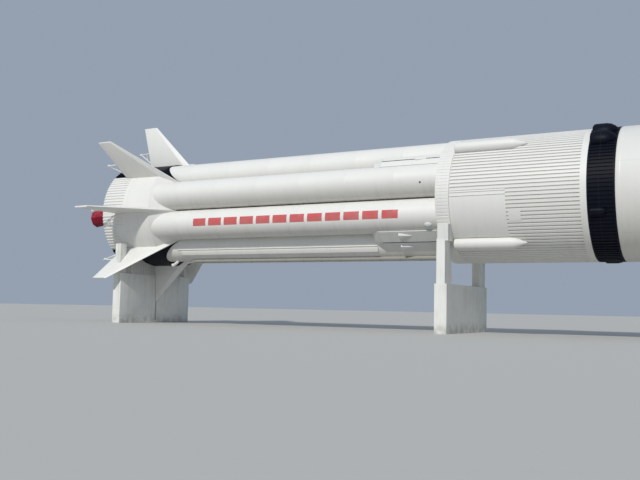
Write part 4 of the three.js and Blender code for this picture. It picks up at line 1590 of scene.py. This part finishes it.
@dataclass
class Spacecraft:
    """Second stage tank, ring, adapter, service module, capsule cover and escape tower."""

    tank_belts: Sequence[float] = (32.5, 38.9)
    ring: tuple[float, float] = (42.24, 43.14)
    adapter: tuple[float, float] = (43.15, 51.68)
    service: tuple[float, float] = (51.69, 55.62)
    service_radius: float = 1.955
    quad_station: float = 54.1
    panels: Sequence[tuple[float, float, float, int]] = ((0.35, 1.7, 26.0, 20), (2.9, 3.5, 15.0, 12))
    shoulder: Point = (55.79, 1.93)
    crown: Point = (58.3, 0.654)
    windows: Sequence[float] = (8.0, 352.0, 90.0)
    tower_foot: float = 58.05
    tower_head: float = 61.59
    tower_halves: tuple[float, float] = (0.58, 0.32)
    leg: float = 0.045
    bays: int = 3
    motor_bands: Sequence[float] = (62.6, 64.4, 65.3)

    def upper_tank(self) -> Work:
        """Turns the second stage's tank, rounded at its aft edge.

        Returns:
            The tank, with a belt at each end.
        """
        skin = STAGE_RADIUS
        tank = Work.turned([(32.32, 0.0), (32.32, skin - 0.06), (32.34, skin - 0.02), (32.4, skin),
                            (39.1, skin), (39.13, skin - 0.02), (39.13, 0.0)], ROUND_STEPS)
        belts = [Work.ring(band(x, x + 0.06, skin - 0.01, skin + 0.005), ROUND_STEPS) for x in self.tank_belts]
        return tank.join(*belts)

    def instrument_ring(self) -> Work:
        """Turns the instrument ring, with flat aerial covers round it and a door.

        Returns:
            The ring.
        """
        aft, fore = self.ring
        low, skin = STAGE_RADIUS - 0.01, STAGE_RADIUS
        body = Work.turned([(aft, 0.0), (aft, skin - 0.015), (aft + 0.015, skin), (fore - 0.015, skin),
                            (fore, skin - 0.015), (fore, 0.0)], ROUND_STEPS)
        cover = Work.sector(band(aft + 0.3, fore - 0.25, low, skin + 0.02), -2.2, 2.2, 4).bevel(0.008)
        door = Work.sector(band(aft + 0.12, fore - 0.12, low, skin + 0.012), 63.0, 77.0, 8).bevel(0.006)
        return body.join(cover.around(12, 30.0, 15.0), door)

    def adapter_cone(self) -> Work:
        """Turns the adapter, with a belt and the strips that join its four panels.

        Returns:
            The adapter.
        """
        aft, fore = self.adapter
        low, high = STAGE_RADIUS, self.service_radius
        drop = (low - high) / (fore - aft)
        cone = Work.turned([(aft, 0.0), (aft, low), (aft + 0.12, low - 0.005), (aft + 0.13, low - 0.03),
                            (fore - 0.1, high - 0.002), (fore - 0.1, high + 0.012), (fore, high), (fore, 0.0)],
                           ROUND_STEPS)
        strip = Work.bridged(hump((aft + 0.2, 0.0, low - 0.08), 0.06, 0.06, 0.088 - 0.2 * drop),
                             hump((fore - 0.15, 0.0, high - 0.08), 0.05, 0.05, 0.088 + 0.15 * drop))
        half = aft + (fore - aft) * 0.34
        skin = low - (half - aft) * drop
        belt = Work.ring([(half, skin - 0.03), (half, skin + 0.012), (half + 0.08, skin + 0.002),
                          (half + 0.08, skin - 0.04)], ROUND_STEPS)
        return cone.join(strip.around(4, 90.0, 45.0), belt)

    def quad(self) -> Work:
        """Makes one cluster of four small thrusters on its plate.

        Returns:
            The cluster, at the top.
        """
        x, base = self.quad_station, self.service_radius
        plate = Work.block((x - 0.45, -0.35, base - 0.08), (x + 0.45, 0.35, base + 0.1)).bevel(0.05, 3)
        hub = Work.dome((x, 0.0, base + 0.08), (0.16, 0.16, 0.1))
        outline = [(0.1, 0.0), (0.1, 0.035), (0.18, 0.03), (0.28, 0.05), (0.4, 0.075), (0.4, 0.062),
                   (0.28, 0.036), (0.2, 0.014), (0.2, 0.0)]
        bells = [Work.turned(outline, 24).settle(moved(x, z=base + 0.175) @ turn(90.0 * k, "Z")) for k in range(4)]
        return plate.join(hub, *bells)

    def service_module(self) -> Work:
        """Turns the service module, with its radiator panels, end rings and thruster clusters.

        Returns:
            The module.
        """
        aft, fore = self.service
        skin = self.service_radius
        low = skin - 0.02
        body = Work.turned([(aft, 0.0), (aft, skin), (aft + 0.14, skin), (aft + 0.15, low), (fore - 0.33, low),
                            (fore - 0.32, skin), (fore, skin), (fore, 0.0)], ROUND_STEPS)
        for first, last, half, steps in self.panels:
            panel = Work.sector(band(aft + first, aft + last, skin - 0.03, skin), -half, half, steps)
            body.join(panel.bevel(0.006).around(4, 90.0, 45.0))
        return body.join(self.quad().around(4, 90.0))

    def cone_radius(self, station: float) -> float:
        """Gives the radius of the capsule's cone at a station."""
        (low, wide), (high, narrow) = self.shoulder, self.crown
        return wide - (station - low) * (wide - narrow) / (high - low)

    def on_cone(self, station: float, azimuth: float) -> Matrix:
        """Gives the way onto the capsule's cone, with X pointing out of it.

        Args:
            station: where on the cone.
            azimuth: which way round it.

        Returns:
            The way as a matrix.
        """
        (low, wide), (high, narrow) = self.shoulder, self.crown
        lean = math.degrees(math.atan2(wide - narrow, high - low)) - 90.0
        return turn(azimuth) @ moved(station, z=self.cone_radius(station)) @ turn(lean, "Y")

    def capsule(self) -> Work:
        """Turns the capsule's cover, with a hatch frame and a belt.

        Returns:
            The cover.
        """
        cone = Work.turned([(55.63, 0.0), (55.63, 1.94), (55.66, 1.955), (55.75, 1.955), self.shoulder, self.crown,
                            (58.42, 0.57), (58.54, 0.47), (58.62, 0.38), (58.62, 0.0)])
        hatch = Work.ring([(-0.02, 0.36), (0.012, 0.365), (0.012, 0.41), (-0.02, 0.42)], 4)
        hatch.settle(self.on_cone(56.75, 40.0) @ turn(45.0)).bevel(0.006)
        aft, fore = 56.0, 56.06
        belt = Work.ring([(aft, self.cone_radius(aft) - 0.02), (aft, self.cone_radius(aft) + 0.008),
                          (fore, self.cone_radius(fore) + 0.008), (fore, self.cone_radius(fore) - 0.02)])
        return cone.join(hatch, belt)

    def panes(self) -> Work:
        """Turns the capsule's round windows.

        Returns:
            All of them as one piece.
        """
        outline = [(-0.02, 0.0), (-0.02, 0.14), (0.01, 0.135), (0.012, 0.12), (0.004, 0.11), (0.004, 0.0)]
        panes = [Work.turned(outline, 32).settle(self.on_cone(56.9, azimuth)) for azimuth in self.windows]
        return panes[0].join(*panes[1:])

    def corner(self, level: float, leg: int) -> Corner:
        """Gives a point on a leg of the tower, at a level counted in bays from the foot.

        Args:
            level: how many bays up, parts of a bay too.
            leg: the leg's number.

        Returns:
            The point.
        """
        share = level / self.bays
        foot, head = self.tower_halves
        return polar(self.tower_foot + (self.tower_head - self.tower_foot) * share,
                     (foot + (head - foot) * share) * math.sqrt(2.0), 45.0 + 90.0 * leg)

    def tower(self) -> Work:
        """Welds the escape tower: legs, rings of bracing, sleeves at the joints, and a head plate.

        Returns:
            The tower.
        """
        sleeve = [(-0.1, 0.0), (-0.1, 0.045), (-0.05, 0.062), (0.05, 0.062), (0.1, 0.045), (0.1, 0.0)]
        thin = self.leg * 0.6
        struts = []
        for k in range(4):
            struts.append(Work.pipe([self.corner(0, k), self.corner(self.bays, k)], self.leg, 4))
            for level in range(self.bays):
                if level:
                    struts.append(Work.pipe([self.corner(level, k), self.corner(level, k + 1)], thin))
                    struts.append(Work.turned(sleeve, 16).settle(moved(*self.corner(level, k))))
                struts.append(Work.pipe([self.corner(level + 0.1, k), self.corner(level + 0.9, k + 1)], thin))
        head = Work.turned([(61.55, 0.0), (61.55, 0.46), (61.58, 0.5), (61.64, 0.5), (61.64, 0.0)], 48)
        return head.join(*struts)

    def escape_motor(self) -> Work:
        """Turns the escape motor, with its flared nozzle skirt, nozzles, case bands and nose probe.

        Returns:
            The motor.
        """
        motor = Work.turned([
            (61.65, 0.0), (61.65, 0.6), (61.68, 0.62), (61.75, 0.62), (62.0, 0.6), (62.2, 0.46), (62.4, 0.335),
            (62.5, 0.33), (66.3, 0.33), (66.32, 0.34), (66.4, 0.34), (66.42, 0.33), (67.38, 0.33), (67.7, 0.25),
            (68.03, 0.14), (68.1, 0.06), (68.28, 0.05), (68.28, 0.0)], 64)
        bands = [Work.ring(band(x, x + 0.06, 0.32, 0.345), 64) for x in self.motor_bands]
        nozzle = Work.turned([(-0.1, 0.0), (-0.3, 0.11), (-0.3, 0.13), (0.0, 0.07), (0.2, 0.06), (0.2, 0.0)], 24)
        nozzle.settle(moved(61.98, z=0.5) @ turn(30.0, "Y"))
        return motor.join(*bands, nozzle.around(4, 90.0, 45.0))

    def build(self) -> None:
        """Builds the forward pieces, from the second stage's tank to the nose."""
        for make, name, look, *node in (
                (self.upper_tank, "tank_upper", STAGE_WHITE, "upper_tank"),
                (self.instrument_ring, "ring_instruments", ADAPTER_WHITE, "instrument_ring"),
                (self.adapter_cone, "adapter", ADAPTER_WHITE, "spacecraft_adapter"),
                (self.service_module, "module_service", ALUMINIUM, "service_module"),
                (self.capsule, "capsule", CORK, "capsule_cover"),
                (self.panes, "capsule_panes", DARK),
                (self.tower, "tower", FITTING_WHITE, "escape_tower"),
                (self.escape_motor, "motor_escape", FITTING_WHITE, "escape_motor")):
            finish_piece(make().mount(), name, look, *node)


@dataclass(frozen=True)
class Pier:
    """A wall pier of rendered masonry, with worn edges. Its heights are measured from the ground."""

    name: str
    aft: float
    fore: float
    half: float
    wall: float
    post: float
    seat: float
    post_width: float = 0.95
    post_thick: float = 0.45
    chock: Point | None = None
    saddle: Point | None = None
    ground: float = -AXIS_HEIGHT / SCALE

    def wall_block(self, aft: float, fore: float, sides: Point, heights: Point) -> Work:
        """Lays a block.

        Args:
            aft: the station of its aft face.
            fore: the station of its forward face.
            sides: where it starts and ends across the rocket.
            heights: where it starts and ends above the ground.

        Returns:
            The block.
        """
        (left, right), (low, high) = sorted(sides), heights
        return Work.block((aft, left, self.ground + low), (fore, right, self.ground + high))

    def posts(self) -> list[Work]:
        """Builds the two posts, with a chock on each under the stages.

        Returns:
            The posts and the chocks.
        """
        middle, half, thick = (self.aft + self.fore) / 2, self.half, self.post_thick / 2
        made = []
        for side in (-1, 1):
            made.append(self.wall_block(middle - thick, middle + thick, (side * half, side * (half - self.post_width)),
                                        (0.1, self.post)))
            if self.chock:
                inset, top = self.chock
                made.append(self.wall_block(self.aft + 0.13, self.fore + 0.05,
                                            (side * (half - 0.01), side * (half - inset)), (self.post - 0.1, top)))
        return made

    def build(self) -> None:
        """Builds the pier, and cuts the rocket's seat out of it."""
        body = self.wall_block(self.aft, self.fore, (-self.half, self.half), (0.0, self.wall))
        body.combine(Solver.FUSE, *self.posts())
        if self.saddle:
            half, top = self.saddle
            slot = Work.block((self.aft - 1, -0.06, self.ground + 0.15), (self.fore + 1, 0.06, 0.0))
            body.combine(Solver.FUSE, self.wall_block(self.aft + 0.05, self.fore - 0.05, (-half, half), (0.1, top)))
            body.combine(Solver.CUT, slot, Fins().blade(0.03).settle(turn(180.0)))
        bore = Work.turned(band(self.aft - 1, self.fore + 1, 0.0, self.seat + 0.002), ROUND_STEPS)
        body.combine(Solver.CUT, bore).bevel(0.025, 2, 60.0).clean()
        finish_piece(body.mount(), "wall_" + self.name, RENDERED, "pier_" + self.name)


PIERS = (
    Pier("tail", 2.46, 3.06, half=3.4, wall=3.1, post=4.95, seat=3.29, post_width=0.5, saddle=(2.45, 4.9)),
    Pier("stage", 23.72, 24.37, half=3.3, wall=2.5, post=4.75, seat=STAGE_RADIUS, chock=(0.7, 5.5)),
    Pier("forward", 41.4, 42.05, half=3.3, wall=2.5, post=4.75, seat=STAGE_RADIUS, chock=(0.7, 5.5)),
    Pier("spacecraft", 52.6, 53.2, half=2.1, wall=3.9, post=5.75, seat=1.955),
)


@dataclass(frozen=True)
class Viewpoint:
    """Where the photograph was taken from, in full-size metres and degrees."""

    station: float = 38.003
    aside: float = 41.03
    height: float = 1.17
    yaw: float = 28.932
    pitch: float = 4.863
    roll: float = 1.161
    focal_pixels: float = 798.29
    sees_to: float = 500.0

    def build(self) -> None:
        """Places the camera, and makes it the scene's own."""
        yaw, pitch, roll = (math.radians(a) for a in (self.yaw, self.pitch, self.roll))
        forward = Vector((-math.sin(yaw) * math.cos(pitch), math.cos(yaw) * math.cos(pitch), math.sin(pitch)))
        level = Vector((math.cos(yaw), math.sin(yaw), 0.0))
        upright = level.cross(forward)
        right = math.cos(roll) * level + math.sin(roll) * upright
        top = math.cos(roll) * upright - math.sin(roll) * level
        data = bpy.data.cameras.new("photo_camera")
        data.sensor_fit = "HORIZONTAL"
        data.sensor_width = SENSOR_WIDTH
        data.lens = self.focal_pixels * SENSOR_WIDTH / PHOTO_WIDTH
        data.clip_end = self.sees_to
        camera = bpy.data.objects.new("photo_camera", data)
        bpy.context.scene.collection.objects.link(camera)
        place = moved((self.station - ORIGIN_STATION) * SCALE, -self.aside * SCALE, self.height * SCALE)
        camera.matrix_world = place @ Matrix((right, top, -forward)).transposed().to_4x4()
        bpy.context.scene.camera = camera


@dataclass(frozen=True)
class Studio:
    """A pale floor, a broad sun from the viewer's side and above, and an even sky."""

    sun_from: Corner = (0.02, -0.72, 0.56)
    sun_energy: float = 2.3
    sun_spread: float = 3.0
    sun_colour: Colour = (1.0, 0.975, 0.925)
    sky: Colour = (0.40, 0.47, 0.58)
    sky_strength: float = 0.75
    floor: Colour = (0.55, 0.545, 0.52)
    floor_size: float = 400.0
    floor_roughness: float = 0.9

    def build(self) -> None:
        """Lays the floor and hangs the lights."""
        bpy.ops.object.select_all(action="DESELECT")
        bpy.ops.mesh.primitive_plane_add(size=self.floor_size, location=(0.0, 0.0, 0.0))
        ground = bpy.context.object
        ground.name = "floor"
        paint = bpy.data.materials.new("floor_paint")
        paint.use_nodes = True
        shader = paint.node_tree.nodes["Principled BSDF"]
        shader.inputs["Base Color"].default_value = (*self.floor, 1.0)
        shader.inputs["Roughness"].default_value = self.floor_roughness
        ground.data.materials.append(paint)
        data = bpy.data.lights.new("sun", "SUN")
        data.energy = self.sun_energy
        data.angle = math.radians(self.sun_spread)
        data.color = self.sun_colour
        lamp = bpy.data.objects.new("sun", data)
        bpy.context.scene.collection.objects.link(lamp)
        lamp.rotation_euler = Vector(self.sun_from).to_track_quat("Z", "Y").to_euler()
        world = bpy.data.worlds.new("studio")
        world.use_nodes = True
        background = world.node_tree.nodes["Background"]
        background.inputs["Color"].default_value = (*self.sky, 1.0)
        background.inputs["Strength"].default_value = self.sky_strength
        bpy.context.scene.world = world
        bpy.context.scene.view_settings.view_transform = "Standard"


def main() -> None:
    """Builds the camera, the studio and the rocket."""
    logging.basicConfig(level=logging.INFO, format="%(message)s")
    for part in (
            Viewpoint(), Studio(), TankCluster(), TankRuns(), TailShroud(), Fins(), Engines(),
            Skirt("collar", "forward_collar", 23.70, 24.43, SKIN_WHITE, 120, 0.014, 0.66, (0.05, 0.06)),
            Interstage("interstage_ribbed", "interstage", INTERSTAGE_AFT, 31.08, RIBBED_WHITE, share=0.56,
                       rings=(0.04, 0.3)),
            AftSkirt("skirt_aft", "aft_skirt", 31.09, 32.31, BLACK, rings=(0.06, 0.06)),
            Skirt("skirt_forward", "forward_skirt", 39.14, 42.23, RIBBED_WHITE, rings=(0.1, 0.1)),
            Spacecraft(), *PIERS):
        part.build()


if __name__ == "__main__":
    main()
